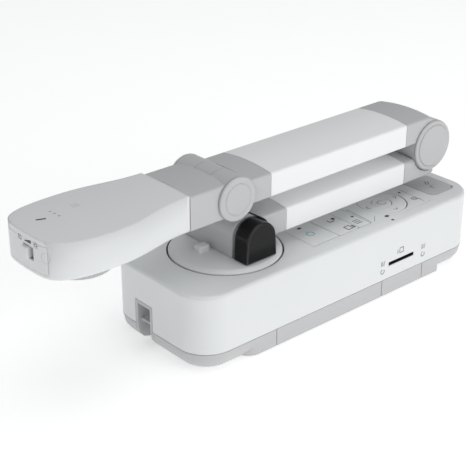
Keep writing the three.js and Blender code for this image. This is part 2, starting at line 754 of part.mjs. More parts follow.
// The crowned slab between two heights that the head's plan outline is cut from.
function headSlab(inset, x0, x1) {
  const halfWidth = head.halfWidth + 6;
  const crown = 1.3 * head.crown; // the same crown measured over the wider slab
  const section = armSection(halfWidth, head.bottom + inset, head.crease - inset, crown, 0.01);
  return prismX(section, x0, x1, 10);
}

function headBody(inset, neck) {
  return prismZ(headOutline(inset, neck), 0, far, 12).intersect(headSlab(inset, -far, far));
}

// The head's outside: the underside's edge is rounded everywhere but across the neck.
function headOutside() {
  const { belly, neck, bottom } = head;
  const outline = headOutline(belly, neck + belly + 1);
  const options = {
    depth: far,
    bevelThickness: belly,
    bevelSize: belly,
    bevelSegments: 3,
    curveSegments: 12,
  };
  const block = new THREE.ExtrudeGeometry(outline, options).translate(0, 0, bottom + belly);
  return solid(block).intersect(headSlab(0, -far, neck));
}

const floorRim = head.bottom + head.belly + 0.1; // ledge inside the shell that the floor's flange lies on

function headShell() {
  const above = box(-far, far, -far, far, floorRim, far);
  const inner = headBody(head.wall, head.neck - head.wall).intersect(above);
  const rim = head.belly + head.wall;
  const floorCut = prismZ(headOutline(rim, head.neck - rim), 0, floorRim + 1, 8);
  return cut(headOutside(), inner, floorCut, bezelBlock(fit), headFrameBar(fit));
}

function bezelBlock(clear) {
  const { halfWidth, bottom, top } = bezel;
  return box(-far, head.end + 12, -halfWidth - clear, halfWidth + clear, bottom - clear, top + clear);
}

function switchSlot(clear) {
  const { y, z, width, height, travel } = lampSwitch;
  const wide = width / 2 + clear;
  const tall = height / 2 + clear;
  return box(-far, far, y - travel - wide, y + wide, z - tall, z + tall);
}

function switchBezel() {
  const skin = cut(headOutside(), headBody(head.wall, head.neck)).intersect(bezelBlock(0));
  return cut(skin, switchSlot(lampSwitch.gap)).intersect(box(-far, head.end + 11, -far, far, 0, far));
}

// The bar that ties the head to its knuckle; clear widens it into its pocket.
function headFrameBar(clear) {
  const middle = (head.bottom + head.crease) / 2;
  return box(-14 - clear, 30 + clear, -13 - clear, 13 + clear, middle - 5 - clear, middle + 5 + clear);
}

function headKnuckle() {
  const { x, z, barrel } = headHinge;
  const w = arm.halfWidth;
  const section = armSection(w, head.bottom, head.crease, head.crown + 0.4, arm.edge);
  const collar = prismX(section, head.neck + head.seam, x - barrel / 2, armCurve);
  const slot = arm.tongueHalf + fit;
  return cut(
    join(collar, rodY(x, z, barrel, -w, w, 48)),
    rodY(x, z, barrel + fit, -slot, slot, 48),
    headFrameBar(fit),
    rodY(x, z, pinRadius + fit, -far, far, 20),
  );
}

function headFloor() {
  const rim = head.belly + head.wall + fit;
  const inset = head.wall + fit;
  const top = floorRim + fit + 1.2;
  const flange = prismZ(headOutline(inset, head.neck - inset), floorRim + fit, top, 8);
  const panelPlate = prismZ(headOutline(rim, head.neck - rim), head.bottom + 0.2, top, 8);
  const plate = join(panelPlate, flange);
  const tubeHole = rod(lens.tube + fit, 0, far, 40).translate([lens.x, 0, 0]);
  const lampHole = rod(lamp.radius + fit, 0, far, 20).translate([lamp.x, 0, 0]);
  return cut(plate, tubeHole, lampHole);
}

function ribbedRing() {
  const outline = new THREE.Shape();
  const steps = lens.ribs * 4;
  for (let i = 0; i < steps; i++) {
    const radius = i % 4 < 2 ? lens.ring : lens.ring - lens.rib;
    const angle = (i / steps) * fullTurn;
    const point = [radius * Math.cos(angle), radius * Math.sin(angle)];
    if (i === 0) outline.moveTo(...point);
    else outline.lineTo(...point);
  }
  const top = head.bottom - fit;
  const body = prismZ(outline, lens.ringBottom, top);
  const bore = lens.tube + fit;
  const lead = 1.6; // chamfer at the mouth of the bore
  const inside = turned([[0, 0], [bore + lead, 0], [bore + lead, lens.ringBottom],
    [bore, lens.ringBottom + lead], [bore, far], [0, far]], 40);
  return cut(body, inside).translate([lens.x, 0, 0]);
}

function lensTube() {
  const { tube, hood, glass, ringBottom } = lens;
  const top = head.bottom + 6;
  const profile = [[hood, ringBottom + 0.6], [tube, ringBottom + 0.6], [tube, top], [glass + fit, top],
    [glass + fit, head.bottom - 2], [glass - 1, head.bottom - 2], [glass - 1, head.bottom - 3],
    [hood, ringBottom + 0.6]];
  return turned(profile, 40).translate([lens.x, 0, 0]);
}

function lensGlass() {
  const { glass } = lens;
  const low = head.bottom - 2 + fit;
  const profile = [[0, low - 0.6], [glass - 1.6, low], [glass, low], [glass, low + 3], [0, low + 3.6]];
  return turned(profile, 28).translate([lens.x, 0, 0]);
}

function switchKnob() {
  const { y, z, width, height, proud, corner, edge } = lampSwitch;
  const wide = width / 2;
  const tall = height / 2;
  const x0 = head.end - proud;
  return cushion(x0, head.end + 5, y - wide, y + wide, z - tall, z + tall, corner, edge, edge, 2, 2);
}

function buildHead() {
  const group = new THREE.Group();
  piece(group, "head_knuckle", headKnuckle(), grey());
  piece(group, "head_pin", hingePin(headHinge), steel());
  piece(group, "head_cap_front", sideCap(headHinge, headHinge.cap, headHinge.cap - 4.6, -1), grey());
  piece(group, "head_cap_rear", sideCap(headHinge, headHinge.cap, headHinge.cap - 4.6, 1), grey());
  piece(group, "head_shell", headShell(), white());
  piece(group, "head_floor", headFloor(), white());
  piece(group, "head_frame", headFrameBar(0), steel());
  piece(group, "switch_bezel", switchBezel(), white());
  piece(group, "lens_tube", lensTube(), black());
  piece(group, "lens_glass", lensGlass(), clear());
  const lampTop = head.bottom + head.wall;
  const { radius, dome } = lamp;
  const lampLens = turned([[0, head.bottom - dome], [radius - 1, head.bottom],
    [radius, head.bottom + dome], [radius, lampTop], [0, lampTop]], 20);
  piece(group, "lamp_lens", lampLens.translate([lamp.x, 0, 0]), clear());
  const boardZ = head.bottom + sensor.lift;
  const boardTop = boardZ + sensor.thickness;
  const sensorBoard = box(lens.x - 22, lamp.x - 6, -sensor.halfWidth, sensor.halfWidth, boardZ, boardTop);
  piece(group, "sensor_board", sensorBoard, circuit());
  const housing = rod(sensor.housing, boardTop + fit, boardZ + sensor.housingTop, 24);
  piece(group, "sensor_housing", housing.translate([lens.x, 0, 0]), black());
  piece(group, "lamp_switch", switchKnob(), white());
  piece(group, "lens_ring", ribbedRing(), grey());
  return group;
}

// ---- Assembly ----

const documentCamera = new THREE.Group();
const overallStart = head.end - lampSwitch.proud;
documentCamera.position.x = -(overallStart + base.length) / 2;
documentCamera.add(buildBase());
documentCamera.add(buildTurntable());
piece(documentCamera, "arm_lock_lever", lockLever(), black());
documentCamera.add(buildLowerArm());
documentCamera.add(buildElbowHub());
documentCamera.add(buildUpperArm());
documentCamera.add(buildHead());

export default documentCamera;
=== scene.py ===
# %% [markdown]
# # A folded document camera
# The object is a desktop document camera, packed flat: a weighted base with keys and sockets, a turntable,
# an arm in two lengths and a camera head on a tilting knuckle. Its working frame comes from a CAD model
# that never changes here. This lesson gives that frame its looks: smooth skins, turned parts, print and
# plastic. Everything is in metres, with +Z up, and every finished piece sits at the origin with its place
# in its mesh.

# %% Load the frame
import json
import math

import bmesh
import bpy
from mathutils import Matrix, Vector
from mathutils.bvhtree import BVHTree


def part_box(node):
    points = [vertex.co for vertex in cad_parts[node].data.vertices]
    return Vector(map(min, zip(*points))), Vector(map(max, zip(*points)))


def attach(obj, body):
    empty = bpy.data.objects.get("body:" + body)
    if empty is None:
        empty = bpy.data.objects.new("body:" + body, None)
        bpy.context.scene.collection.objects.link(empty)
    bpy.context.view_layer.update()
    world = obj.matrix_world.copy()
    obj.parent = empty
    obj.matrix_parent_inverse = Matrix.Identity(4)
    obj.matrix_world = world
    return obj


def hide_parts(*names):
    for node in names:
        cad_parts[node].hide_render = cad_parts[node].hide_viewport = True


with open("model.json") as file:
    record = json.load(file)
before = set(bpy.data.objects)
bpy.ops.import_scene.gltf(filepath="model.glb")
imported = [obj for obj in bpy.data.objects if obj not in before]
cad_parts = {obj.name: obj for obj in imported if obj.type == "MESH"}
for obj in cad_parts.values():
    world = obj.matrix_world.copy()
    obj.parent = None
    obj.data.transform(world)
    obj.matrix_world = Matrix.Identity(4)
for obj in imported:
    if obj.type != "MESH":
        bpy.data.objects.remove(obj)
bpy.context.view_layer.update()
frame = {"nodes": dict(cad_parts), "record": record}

MM = 0.001
BASE_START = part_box("upper_case")[0].x  # the base's head end, from which lengths are counted
BASE_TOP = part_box("upper_case")[1].z


def along(x):
    """Millimetres counted from the base's head end, as a place on the frame's X axis."""
    return BASE_START + x * MM


BODIES = frame["record"]["behaviour"]["bodies"]
BODY_OF_NODE = {node: body for body, nodes in BODIES.items() for node in nodes}
SLOT_OF_NODE = {part["node"]: part["material_slot"] for part in frame["record"]["subparts"]}

# %% [markdown]
# ## The surface effects that the finishes share
# A moulded plastic isn't one flat colour. The mould leaves a fine satin grain, the batch is a touch uneven,
# handling polishes the edges and dust settles on what faces up. The edges also carry a painted highlight.
# Each effect is wanted on several finishes with its own strength, so each is built once, as a node group
# that puts out only a colour, a mask or a normal.

# %% Helpers for node groups
def new_group(name, inputs, outputs):
    """A shader node group with named sockets; returns it with its input and output nodes."""
    group = bpy.data.node_groups.new(name, "ShaderNodeTree")
    for label, kind, value in inputs:
        socket = group.interface.new_socket(name=label, in_out="INPUT", socket_type=kind)
        if value is not None:
            socket.default_value = value
    for label, kind in outputs:
        group.interface.new_socket(name=label, in_out="OUTPUT", socket_type=kind)
    return group, group.nodes.new("NodeGroupInput"), group.nodes.new("NodeGroupOutput")


def maths(tree, operation, first, second=None):
    """A Math node whose inputs are numbers or sockets."""
    node = tree.nodes.new("ShaderNodeMath")
    node.operation = operation
    for index, value in enumerate((first, second)):
        if isinstance(value, bpy.types.NodeSocket):
            tree.links.new(value, node.inputs[index])
        elif value is not None:
            node.inputs[index].default_value = value
    return node.outputs[0]


def noise(tree, scale, detail, vector):
    """A Noise Texture read at a place on the piece."""
    node = tree.nodes.new("ShaderNodeTexNoise")
    node.inputs["Scale"].default_value = scale
    node.inputs["Detail"].default_value = detail
    tree.links.new(vector, node.inputs["Vector"])
    return node.outputs["Fac"]


FLOAT, COLOUR, VECTOR = "NodeSocketFloat", "NodeSocketColor", "NodeSocketVector"

# %% [markdown]
# ### Uneven tone
# A slow drift in brightness over a few centimetres, and a faint speckle under a millimetre. Both come from
# noise on Object coordinates, so they stay fixed to the piece when it moves.

# %% The uneven tone group
tone_group, tone_in, tone_out = new_group(
    "uneven_tone",
    [("Colour", COLOUR, None), ("Drift", FLOAT, 0.03), ("Speckle", FLOAT, 0.02)],
    [("Colour", COLOUR)],
)
tone_place = tone_group.nodes.new("ShaderNodeTexCoord").outputs["Object"]
slow = maths(tone_group, "SUBTRACT", noise(tone_group, 22.0, 2.0, tone_place), 0.5)
quick_speck = maths(tone_group, "SUBTRACT", noise(tone_group, 1900.0, 1.0, tone_place), 0.5)
drift = maths(tone_group, "MULTIPLY", slow, tone_in.outputs["Drift"])
speck = maths(tone_group, "MULTIPLY", quick_speck, tone_in.outputs["Speckle"])
brightness = maths(tone_group, "ADD", maths(tone_group, "ADD", drift, speck), 1.0)
tone_scale = tone_group.nodes.new("ShaderNodeVectorMath")
tone_scale.operation = "SCALE"
tone_group.links.new(tone_in.outputs["Colour"], tone_scale.inputs[0])
tone_group.links.new(brightness, tone_scale.inputs["Scale"])
tone_group.links.new(tone_scale.outputs[0], tone_out.inputs["Colour"])
print("uneven tone:", len(tone_group.nodes), "nodes")

# %% [markdown]
# ### Mould grain and softened edges
# The satin grain is a bump of a few hundredths of a millimetre. A moulded edge is never a knife edge, so
# the normal that the bump starts from comes from a Bevel node, which rounds every corner by a set radius.

# %% The mould grain group
grain_group, grain_in, grain_out = new_group(
    "mould_grain",
    [
        ("Strength", FLOAT, 0.25),
        ("Roughness", FLOAT, 0.4),
        ("Spread", FLOAT, 0.06),
        ("Rounding", FLOAT, 0.0005),
    ],
    [("Normal", VECTOR), ("Roughness", FLOAT)],
)
grain_place = grain_group.nodes.new("ShaderNodeTexCoord").outputs["Object"]
fine = noise(grain_group, 2600.0, 2.0, grain_place)
rounded = grain_group.nodes.new("ShaderNodeBevel")
rounded.samples = 6
grain_group.links.new(grain_in.outputs["Rounding"], rounded.inputs["Radius"])
grain_bump = grain_group.nodes.new("ShaderNodeBump")
grain_bump.inputs["Distance"].default_value = 0.00006
grain_group.links.new(grain_in.outputs["Strength"], grain_bump.inputs["Strength"])
grain_group.links.new(fine, grain_bump.inputs["Height"])
grain_group.links.new(rounded.outputs["Normal"], grain_bump.inputs["Normal"])
grain_group.links.new(grain_bump.outputs["Normal"], grain_out.inputs["Normal"])
patchy = maths(grain_group, "SUBTRACT", noise(grain_group, 60.0, 3.0, grain_place), 0.5)
gloss_change = maths(grain_group, "MULTIPLY", patchy, grain_in.outputs["Spread"])
grain_group.links.new(
    maths(grain_group, "ADD", grain_in.outputs["Roughness"], gloss_change), grain_out.inputs["Roughness"]
)
print("mould grain:", len(grain_group.nodes), "nodes")

# %% [markdown]
# ### Lighter edges and settled dust
# Where the rounded normal leaves the true one there is an edge, and it is painted lighter: partly the
# polish that hands give it, partly a painted highlight that stands in for a lamp's reflection on the curve.
# Dust is the part of the surface that faces up, broken by noise. Each group puts out one mask.

# %% The edge and dust groups
# The edge mask marks wear and a painted highlight alike.
edge_group, edge_in, edge_out = new_group("edge_wear_and_highlight", [("Width", FLOAT, 0.0008)], [("Mask", FLOAT)])
wide = edge_group.nodes.new("ShaderNodeBevel")
wide.samples = 4
edge_group.links.new(edge_in.outputs["Width"], wide.inputs["Radius"])
edge_geometry = edge_group.nodes.new("ShaderNodeNewGeometry")
edge_dot = edge_group.nodes.new("ShaderNodeVectorMath")
edge_dot.operation = "DOT_PRODUCT"
edge_group.links.new(wide.outputs["Normal"], edge_dot.inputs[0])
edge_group.links.new(edge_geometry.outputs["Normal"], edge_dot.inputs[1])
turn_away = maths(edge_group, "SUBTRACT", 1.0, edge_dot.outputs["Value"])
edge_mask = maths(edge_group, "MINIMUM", maths(edge_group, "MULTIPLY", turn_away, 3.0), 1.0)
edge_group.links.new(edge_mask, edge_out.inputs["Mask"])

dust_group, dust_in, dust_out = new_group("settled_dust", [("Amount", FLOAT, 0.1)], [("Mask", FLOAT)])
dust_place = dust_group.nodes.new("ShaderNodeTexCoord").outputs["Object"]
dust_geometry = dust_group.nodes.new("ShaderNodeNewGeometry")
dust_normal = dust_group.nodes.new("ShaderNodeSeparateXYZ")
dust_group.links.new(dust_geometry.outputs["Normal"], dust_normal.inputs[0])
facing_up = maths(dust_group, "MAXIMUM", dust_normal.outputs["Z"], 0.0)
clumps = noise(dust_group, 380.0, 3.0, dust_place)
settled = maths(dust_group, "MULTIPLY", facing_up, clumps)
dust_mask = maths(dust_group, "MULTIPLY", settled, dust_in.outputs["Amount"])
dust_group.links.new(dust_mask, dust_out.inputs["Mask"])
print("edge and dust:", len(edge_group.nodes) + len(dust_group.nodes), "nodes")

# %% [markdown]
# ## The finishes
# White and grey shells are satin ABS, the lever is the one glossy black piece, the feet are rubber, the
# pins and tubes are plated steel, and the print is screened ink. Every finish is a Principled BSDF in its
# own material, fed by the shared groups with its own values; constants such as the coat are set on the
# shader itself.

# %% A moulded finish
DUST_COLOUR = (0.62, 0.61, 0.58, 1.0)


def group_node(tree, group, **values):
    """One of the shared groups placed in a material, with its inputs set."""
    node = tree.nodes.new("ShaderNodeGroup")
    node.node_tree = group
    for label, value in values.items():
        node.inputs[label].default_value = value
    return node


def moulded(
    name, colour, roughness, strength=0.25, spread=0.06, drift=0.03, speckle=0.02, edge=0.06, dust=0.05,
    rounding=0.0005, metallic=0.0, coat=0.0, specular=0.5, wear_and_highlight_lift=0.03,
):
    """A finish with grain, uneven tone, edges lightened for wear and for a painted highlight, and a little
    dust, fed into one Principled BSDF.
    """
    material = bpy.data.materials.new(name)
    material.use_nodes = True
    tree = material.node_tree
    shader = tree.nodes["Principled BSDF"]
    shader.inputs["Metallic"].default_value = metallic
    shader.inputs["Specular IOR Level"].default_value = specular
    shader.inputs["Coat Weight"].default_value = coat
    shader.inputs["Coat Roughness"].default_value = 0.08
    tone = group_node(tree, tone_group, Colour=(*colour, 1.0), Drift=drift, Speckle=speckle)
    grain = group_node(
        tree, grain_group, Strength=strength, Roughness=roughness, Spread=spread, Rounding=rounding
    )
    worn_and_highlit = group_node(tree, edge_group, Width=rounding * 1.6)
    dusty = group_node(tree, dust_group, Amount=dust)
    # Edges are mixed towards a lighter colour: partly wear, partly a painted highlight.
    lighter = tree.nodes.new("ShaderNodeMix")
    lighter.data_type = "RGBA"
    lighter.inputs["B"].default_value = (*[min(1.0, c * 1.25 + wear_and_highlight_lift) for c in colour], 1.0)
    tree.links.new(maths(tree, "MULTIPLY", worn_and_highlit.outputs["Mask"], edge), lighter.inputs["Factor"])
    tree.links.new(tone.outputs["Colour"], lighter.inputs["A"])
    greyed = tree.nodes.new("ShaderNodeMix")
    greyed.data_type = "RGBA"
    greyed.inputs["B"].default_value = DUST_COLOUR
    tree.links.new(dusty.outputs["Mask"], greyed.inputs["Factor"])
    tree.links.new(lighter.outputs["Result"], greyed.inputs["A"])
    tree.links.new(greyed.outputs["Result"], shader.inputs["Base Color"])
    tree.links.new(grain.outputs["Roughness"], shader.inputs["Roughness"])
    tree.links.new(grain.outputs["Normal"], shader.inputs["Normal"])
    return material


# %% The moulded finishes
# The white shells' edges are lifted far more than wear needs: a painted highlight along their rounded rims.
white_plastic = moulded(
    "white_plastic", (0.80, 0.815, 0.815), 0.38, rounding=0.0011, edge=0.5, wear_and_highlight_lift=0.08
)
# The arms' white is a lighter copy of the shells' white plastic: painted light that brightens the arms.
arm_white_painted_light = moulded("arm_white_painted_light", (0.93, 0.94, 0.94), 0.34, rounding=0.0009, edge=0.3)
grey_plastic = moulded("grey_plastic", (0.55, 0.55, 0.555), 0.42)
# The turntable's grey is a lighter copy of the grey plastic: painted light that offsets the shade under the
# arm and head.
turntable_grey_painted_light = moulded("turntable_grey_painted_light", (0.80, 0.80, 0.805), 0.42)
# The dark grey is painted as light as the grey plastic: painted light that offsets the shade on the receiver
# window.
dark_grey_plastic = moulded("dark_grey_plastic", (0.55, 0.55, 0.555), 0.30, strength=0.1)
black_plastic = moulded("black_plastic", (0.022, 0.022, 0.024), 0.45, drift=0.1)
# The lever's edges carry a painted highlight: the large edge lift stands in for a strip light's reflection.
lever_plastic = moulded(
    "lever_plastic", (0.010, 0.010, 0.011), 0.18, strength=0.04, dust=0.0, rounding=0.0010, specular=0.16,
    edge=0.9, wear_and_highlight_lift=0.3,
)
foot_rubber = moulded("foot_rubber", (0.035, 0.035, 0.035), 0.85, strength=0.5, drift=0.15, dust=0.2)
steel = moulded("steel", (0.62, 0.63, 0.64), 0.28, metallic=1.0, dust=0.0)
frame_aluminium = moulded("frame_aluminium", (0.7, 0.71, 0.72), 0.4, metallic=1.0, dust=0.0)
circuit_board = moulded("circuit_board", (0.03, 0.16, 0.07), 0.35, drift=0.2)
print("moulded finishes made:", len(bpy.data.materials))

# %% [markdown]
# ### Ink and glass
# Screen-printed ink is thin and matt, and a little uneven in tone. The lens is clear glass with a very fine
# polish; the lamp's lens is the same glass, frosted. A table pairs each ink with the material slot nearest
# to it in tone.

# %% Ink and glass finishes
dark_ink = moulded("dark_ink", (0.045, 0.045, 0.05), 0.55, strength=0.1, drift=0.3, dust=0.0, edge=0.0)
grey_ink = moulded("grey_ink", (0.17, 0.17, 0.18), 0.55, strength=0.1, drift=0.2, dust=0.0, edge=0.0)
pale_ink = moulded("pale_ink", (0.50, 0.51, 0.515), 0.5, strength=0.1, drift=0.1, dust=0.0, edge=0.0)
faint_ink = moulded("faint_ink", (0.68, 0.69, 0.695), 0.5, strength=0.1, drift=0.1, dust=0.0, edge=0.0)
blue_ink = moulded("blue_ink", (0.24, 0.56, 0.66), 0.45, strength=0.1, drift=0.1, dust=0.0, edge=0.0)
SLOT_OF_INK = {
    "dark_ink": "black_plastic",
    "grey_ink": "grey_plastic",
    "pale_ink": "grey_plastic",
    "faint_ink": "white_plastic",
    "blue_ink": "white_plastic",
}


def glass(name, colour, roughness):
    """A clear or frosted glass, whose roughness comes from the shared grain group."""
    material = bpy.data.materials.new(name)
    material.use_nodes = True
    tree = material.node_tree
    shader = tree.nodes["Principled BSDF"]
    shader.inputs["Base Color"].default_value = (*colour, 1.0)
    shader.inputs["Transmission Weight"].default_value = 1.0
    shader.inputs["IOR"].default_value = 1.5
    grain = group_node(tree, grain_group, Strength=0.02, Roughness=roughness, Spread=0.02, Rounding=0.0002)
    tree.links.new(grain.outputs["Roughness"], shader.inputs["Roughness"])
    return material


clear_glass = glass("clear_glass", (0.86, 0.90, 0.94), 0.03)
frosted_glass = glass("frosted_glass", (0.95, 0.95, 0.90), 0.35)
print("finishes in all:", len(bpy.data.materials))

# %% A finish for every material slot
FINISH_OF_SLOT = {
    "white_plastic": white_plastic,
    "grey_plastic": grey_plastic,
    "dark_grey_plastic": dark_grey_plastic,
    "black_plastic": black_plastic,
    "lever_plastic": lever_plastic,
    "foot_rubber": foot_rubber,
    "steel": steel,
    "frame_aluminium": frame_aluminium,
    "circuit_board": circuit_board,
    "clear_glass": clear_glass,
}
for node, obj in frame["nodes"].items():
    obj.data.materials.clear()
    obj.data.materials.append(FINISH_OF_SLOT[SLOT_OF_NODE[node]])
print("finishes on", len(frame["nodes"]), "CAD nodes")

# %% [markdown]
# ## Putting a piece on the object
# A piece is modelled in a bmesh, closed, turned outwards and written to a mesh at its true place. It then
# rides on a CAD body, may stand for CAD nodes and names the finish it takes. Smooth shading with sharp
# corners above an angle suits moulded parts: curved faces look curved, and the edges stay crisp.

# %% The piece maker
SHARP_ANGLE = 32.0  # degrees between two faces above which their edge stays crisp


def add_piece(name, bm, body, finish, stands_for=(), slot=None, sharp=SHARP_ANGLE, recalculate=True):
    """Turns a bmesh into a finished piece that rides on a body and may stand for CAD nodes."""
    bmesh.ops.remove_doubles(bm, verts=bm.verts, dist=1e-6)
    if recalculate:
        bmesh.ops.recalc_face_normals(bm, faces=bm.faces)
    mesh = bpy.data.meshes.new(name)
    bm.to_mesh(mesh)
    bm.free()
    mesh.shade_smooth()
    mesh.set_sharp_from_angle(angle=math.radians(sharp))
    mesh.materials.append(finish)
    piece = bpy.data.objects.new(name, mesh)
    bpy.context.collection.objects.link(piece)
    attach(piece, body)
    if stands_for:
        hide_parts(*stands_for)
        slot = slot or SLOT_OF_NODE[stands_for[0]]
    return piece


# %% [markdown]
# ## The moulded shells
# The shells, arms and brackets have their true shape in the frame, but as flat facets. The tool that suits
# them is a merged copy: loose triangles are welded, flat areas become single faces, and curved ones shade
# smoothly.
#
# ### The crowned top of the head
# The head's shell is moulded with a gentle crown over a rounded front. In the frame that crown is made of
# long thin facets from side to side, and smooth shading smears across them. Bisecting only the faces that
# look up, at every upright edge of the wall below, gives them the same stations as the wall, so both shade
# evenly.

# %% Cutting a crowned top across
UPRIGHT_LENGTH = 5 * MM  # the shortest edge that counts as an upright of the wall
FACES_UP = 0.7  # the least upward part of a normal for a face to count as top
WELD = 2e-6  # metres between corners that are one corner


def cut_top_across(bm):
    """Cuts the faces that look up at every upright edge of the wall under their rim."""
    stations = set()
    for edge in bm.edges:
        first, second = edge.verts
        run = second.co - first.co
        upright = abs(run.z) > UPRIGHT_LENGTH and abs(run.z) > 0.99 * run.length
        if upright and any(face.normal.z > FACES_UP for vert in edge.verts for face in vert.link_faces):
            stations.add(round(first.co.x, 6))
    for station in sorted(stations):
        tops = [face for face in bm.faces if face.normal.z > FACES_UP]
        borders = {part for face in tops for part in (*face.edges, *face.verts)}
        bmesh.ops.bisect_plane(
            bm, geom=[*tops, *borders], plane_co=(station, 0, 0), plane_no=(1, 0, 0), dist=WELD
        )
    print("cut across at", len(stations), "stations")


# %% [markdown]
# ### A skin over each moulded part
# Every skin is welded and has its flat areas dissolved into single faces. A Weighted Normal modifier then
# keeps the large faces flat where they meet a small curve. The head's shell is the exception: it is cut
# across instead, and plain smooth shading suits its many even strips.

# %% Skins over the moulded shells
SHARP_OF_NODE = {"head_knuckle": 14.0}
CUT_ACROSS = {"head_shell"}
# The arm sleeves take the lighter copy of white plastic, which is painted light.
FINISH_OF_NODE = {"lower_arm_sleeve": arm_white_painted_light, "upper_arm_sleeve": arm_white_painted_light}
FLAT_WITHIN = math.radians(0.6)


def skin_over(node):
    """A welded, smoothly shaded copy of a CAD node that stands for it."""
    bm = bmesh.new()
    bm.from_mesh(frame["nodes"][node].data)
    bmesh.ops.remove_doubles(bm, verts=bm.verts, dist=WELD)
    if node in CUT_ACROSS:
        cut_top_across(bm)
    else:
        bmesh.ops.dissolve_limit(bm, angle_limit=FLAT_WITHIN, verts=bm.verts, edges=bm.edges)
    finish = FINISH_OF_NODE.get(node, FINISH_OF_SLOT[SLOT_OF_NODE[node]])
    sharp = SHARP_OF_NODE.get(node, SHARP_ANGLE)
    piece = add_piece(node + "_skin", bm, BODY_OF_NODE[node], finish, [node], sharp=sharp, recalculate=False)
    if node not in CUT_ACROSS:
        flatten = piece.modifiers.new("flat_faces_stay_flat", "WEIGHTED_NORMAL")
        flatten.keep_sharp = True
        flatten.weight = 80
    return piece


SKINNED = [
    "lower_case", "upper_case", "lock_bezel", "control_panel", "receiver_window", "port_plate", "card_socket",
    "power_inlet", "usb_socket", "monitor_socket_out", "monitor_socket_in", "power_key", "source_key",
    "freeze_key", "focus_key", "menu_key", "lamp_key", "arrow_pad", "enter_key", "hinge_bracket",
    "arm_lock_lever", "lower_arm_root", "lower_arm_sleeve", "lower_arm_tip", "upper_arm_root",
    "upper_arm_sleeve", "upper_arm_tip", "head_knuckle", "head_shell", "head_floor", "switch_bezel",
    "lamp_switch",
]
skins = {node: skin_over(node) for node in SKINNED}
print("skins:", len(skins), "faces:", sum(len(skin.data.polygons) for skin in skins.values()))

# %% [markdown]
# ### Closed seams
# The control panel and the switch's frame are pressed into their openings, so the seam round each is only a
# hair's breadth. Moving the corners of their skins outwards a little closes the working gap that the frame
# needs.

# %% Closing two seams
SEAM_GROWTH = 0.29 * MM
X_AXIS, Y_AXIS, Z_AXIS = 0, 1, 2


def close_seam(node, axes):
    """Widens a skin about its own centre along some axes."""
    low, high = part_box(node)
    for vert in skins[node].data.vertices:
        for axis in axes:
            half = (high[axis] - low[axis]) / 2
            middle = (high[axis] + low[axis]) / 2
            vert.co[axis] = middle + (vert.co[axis] - middle) * (1 + SEAM_GROWTH / half)


close_seam("switch_bezel", (Y_AXIS, Z_AXIS))
close_seam("control_panel", (X_AXIS, Y_AXIS))
print("seams closed by", round(SEAM_GROWTH / MM, 2), "mm on each side")

# %% [markdown]
# ## Turned pieces
# The turntable, the hinge caps, the feet and the lens barrel are all round, so each is one profile spun
# about an axis. A fine profile gives the bevels and steps that a real turned or moulded disc has.

# %% Spinning a profile
def spun(profile, steps=96):
    """Spins a profile of (radius, height) in millimetres about Z."""
    bm = bmesh.new()
    verts = [bm.verts.new((r * MM, 0.0, z * MM)) for r, z in profile]
    edges = [bm.edges.new(pair) for pair in zip(verts, verts[1:])]
    bmesh.ops.spin(
        bm, geom=verts + edges, cent=(0, 0, 0), axis=(0, 0, 1), angle=math.tau, steps=steps, use_merge=True
    )
    bmesh.ops.remove_doubles(bm, verts=bm.verts, dist=1e-7)
    return bm


def fillet(centre_r, centre_z, radius, start, end, count=5):
    """Profile points on an arc, angles in degrees from the outward direction."""
    angles = [math.radians(start + (end - start) * i / count) for i in range(count + 1)]
    return [(centre_r + radius * math.cos(a), centre_z + radius * math.sin(a)) for a in angles]


def centre_of(node):
    """The middle of a CAD node's box."""
    low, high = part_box(node)
    return (low + high) / 2


# %% [markdown]
# ### The turntable
# A flat grey disc with a wide sloping rim, sunk in a round well, with a small stop standing on it. The disc
# is spun; the stop is a block with every edge bevelled and its foot set into the disc.

# %% Turntable disc
TABLE_X = 63  # millimetres along the base to the turntable's centre
TABLE_RISE = 2  # how far the disc stands above the base
TABLE_DEPTH = 7.0  # how far its plate reaches down from the base's top
SHAFT_RADIUS = 15.0
RIM_SLOPE = [(0.8, 1.1), (2.7, 0.3), (3.2, 0.1), (3.7, 0.02), (4.2, 0), (4.7, 0)]  # inset from the edge, drop

disc_low, disc_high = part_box("turntable_disc")
disc_radius = (disc_high.y - disc_low.y) / 2 / MM
disc_foot = disc_low.z / MM
disc_top = (BASE_TOP + TABLE_RISE * MM) / MM
under = BASE_TOP / MM - TABLE_DEPTH
disc_profile = [(0, disc_foot), (SHAFT_RADIUS, disc_foot), (SHAFT_RADIUS, under), (disc_radius - 0.4, under)]
disc_profile += [(disc_radius, under + 0.4), (disc_radius, disc_top - 1.9)]
disc_profile += fillet(disc_radius - 0.5, disc_top - 1.8, 0.5, 10, 60, 4)
disc_profile += [(disc_radius - inset, disc_top - drop) for inset, drop in RIM_SLOPE]
disc_profile += [(0, disc_top)]
bm = spun(disc_profile, 128)
disc_centre = Vector((along(TABLE_X), 0, 0))
bmesh.ops.translate(bm, verts=bm.verts, vec=disc_centre)
# The disc takes the lighter grey, which is painted light.
turntable = add_piece("turntable_plate", bm, "turntable", turntable_grey_painted_light, ["turntable_disc"], sharp=40)
print("turntable radius", round(disc_radius, 2), "mm, faces", len(turntable.data.polygons))

# %% Turntable stop
STOP_X, STOP_Y = 46.5, 5
STOP_SIZE = (9, 7, 6.3)
STOP_HEIGHT = 4.5  # what shows above the disc; the rest is set into it
STOP_CORNER = 1.3

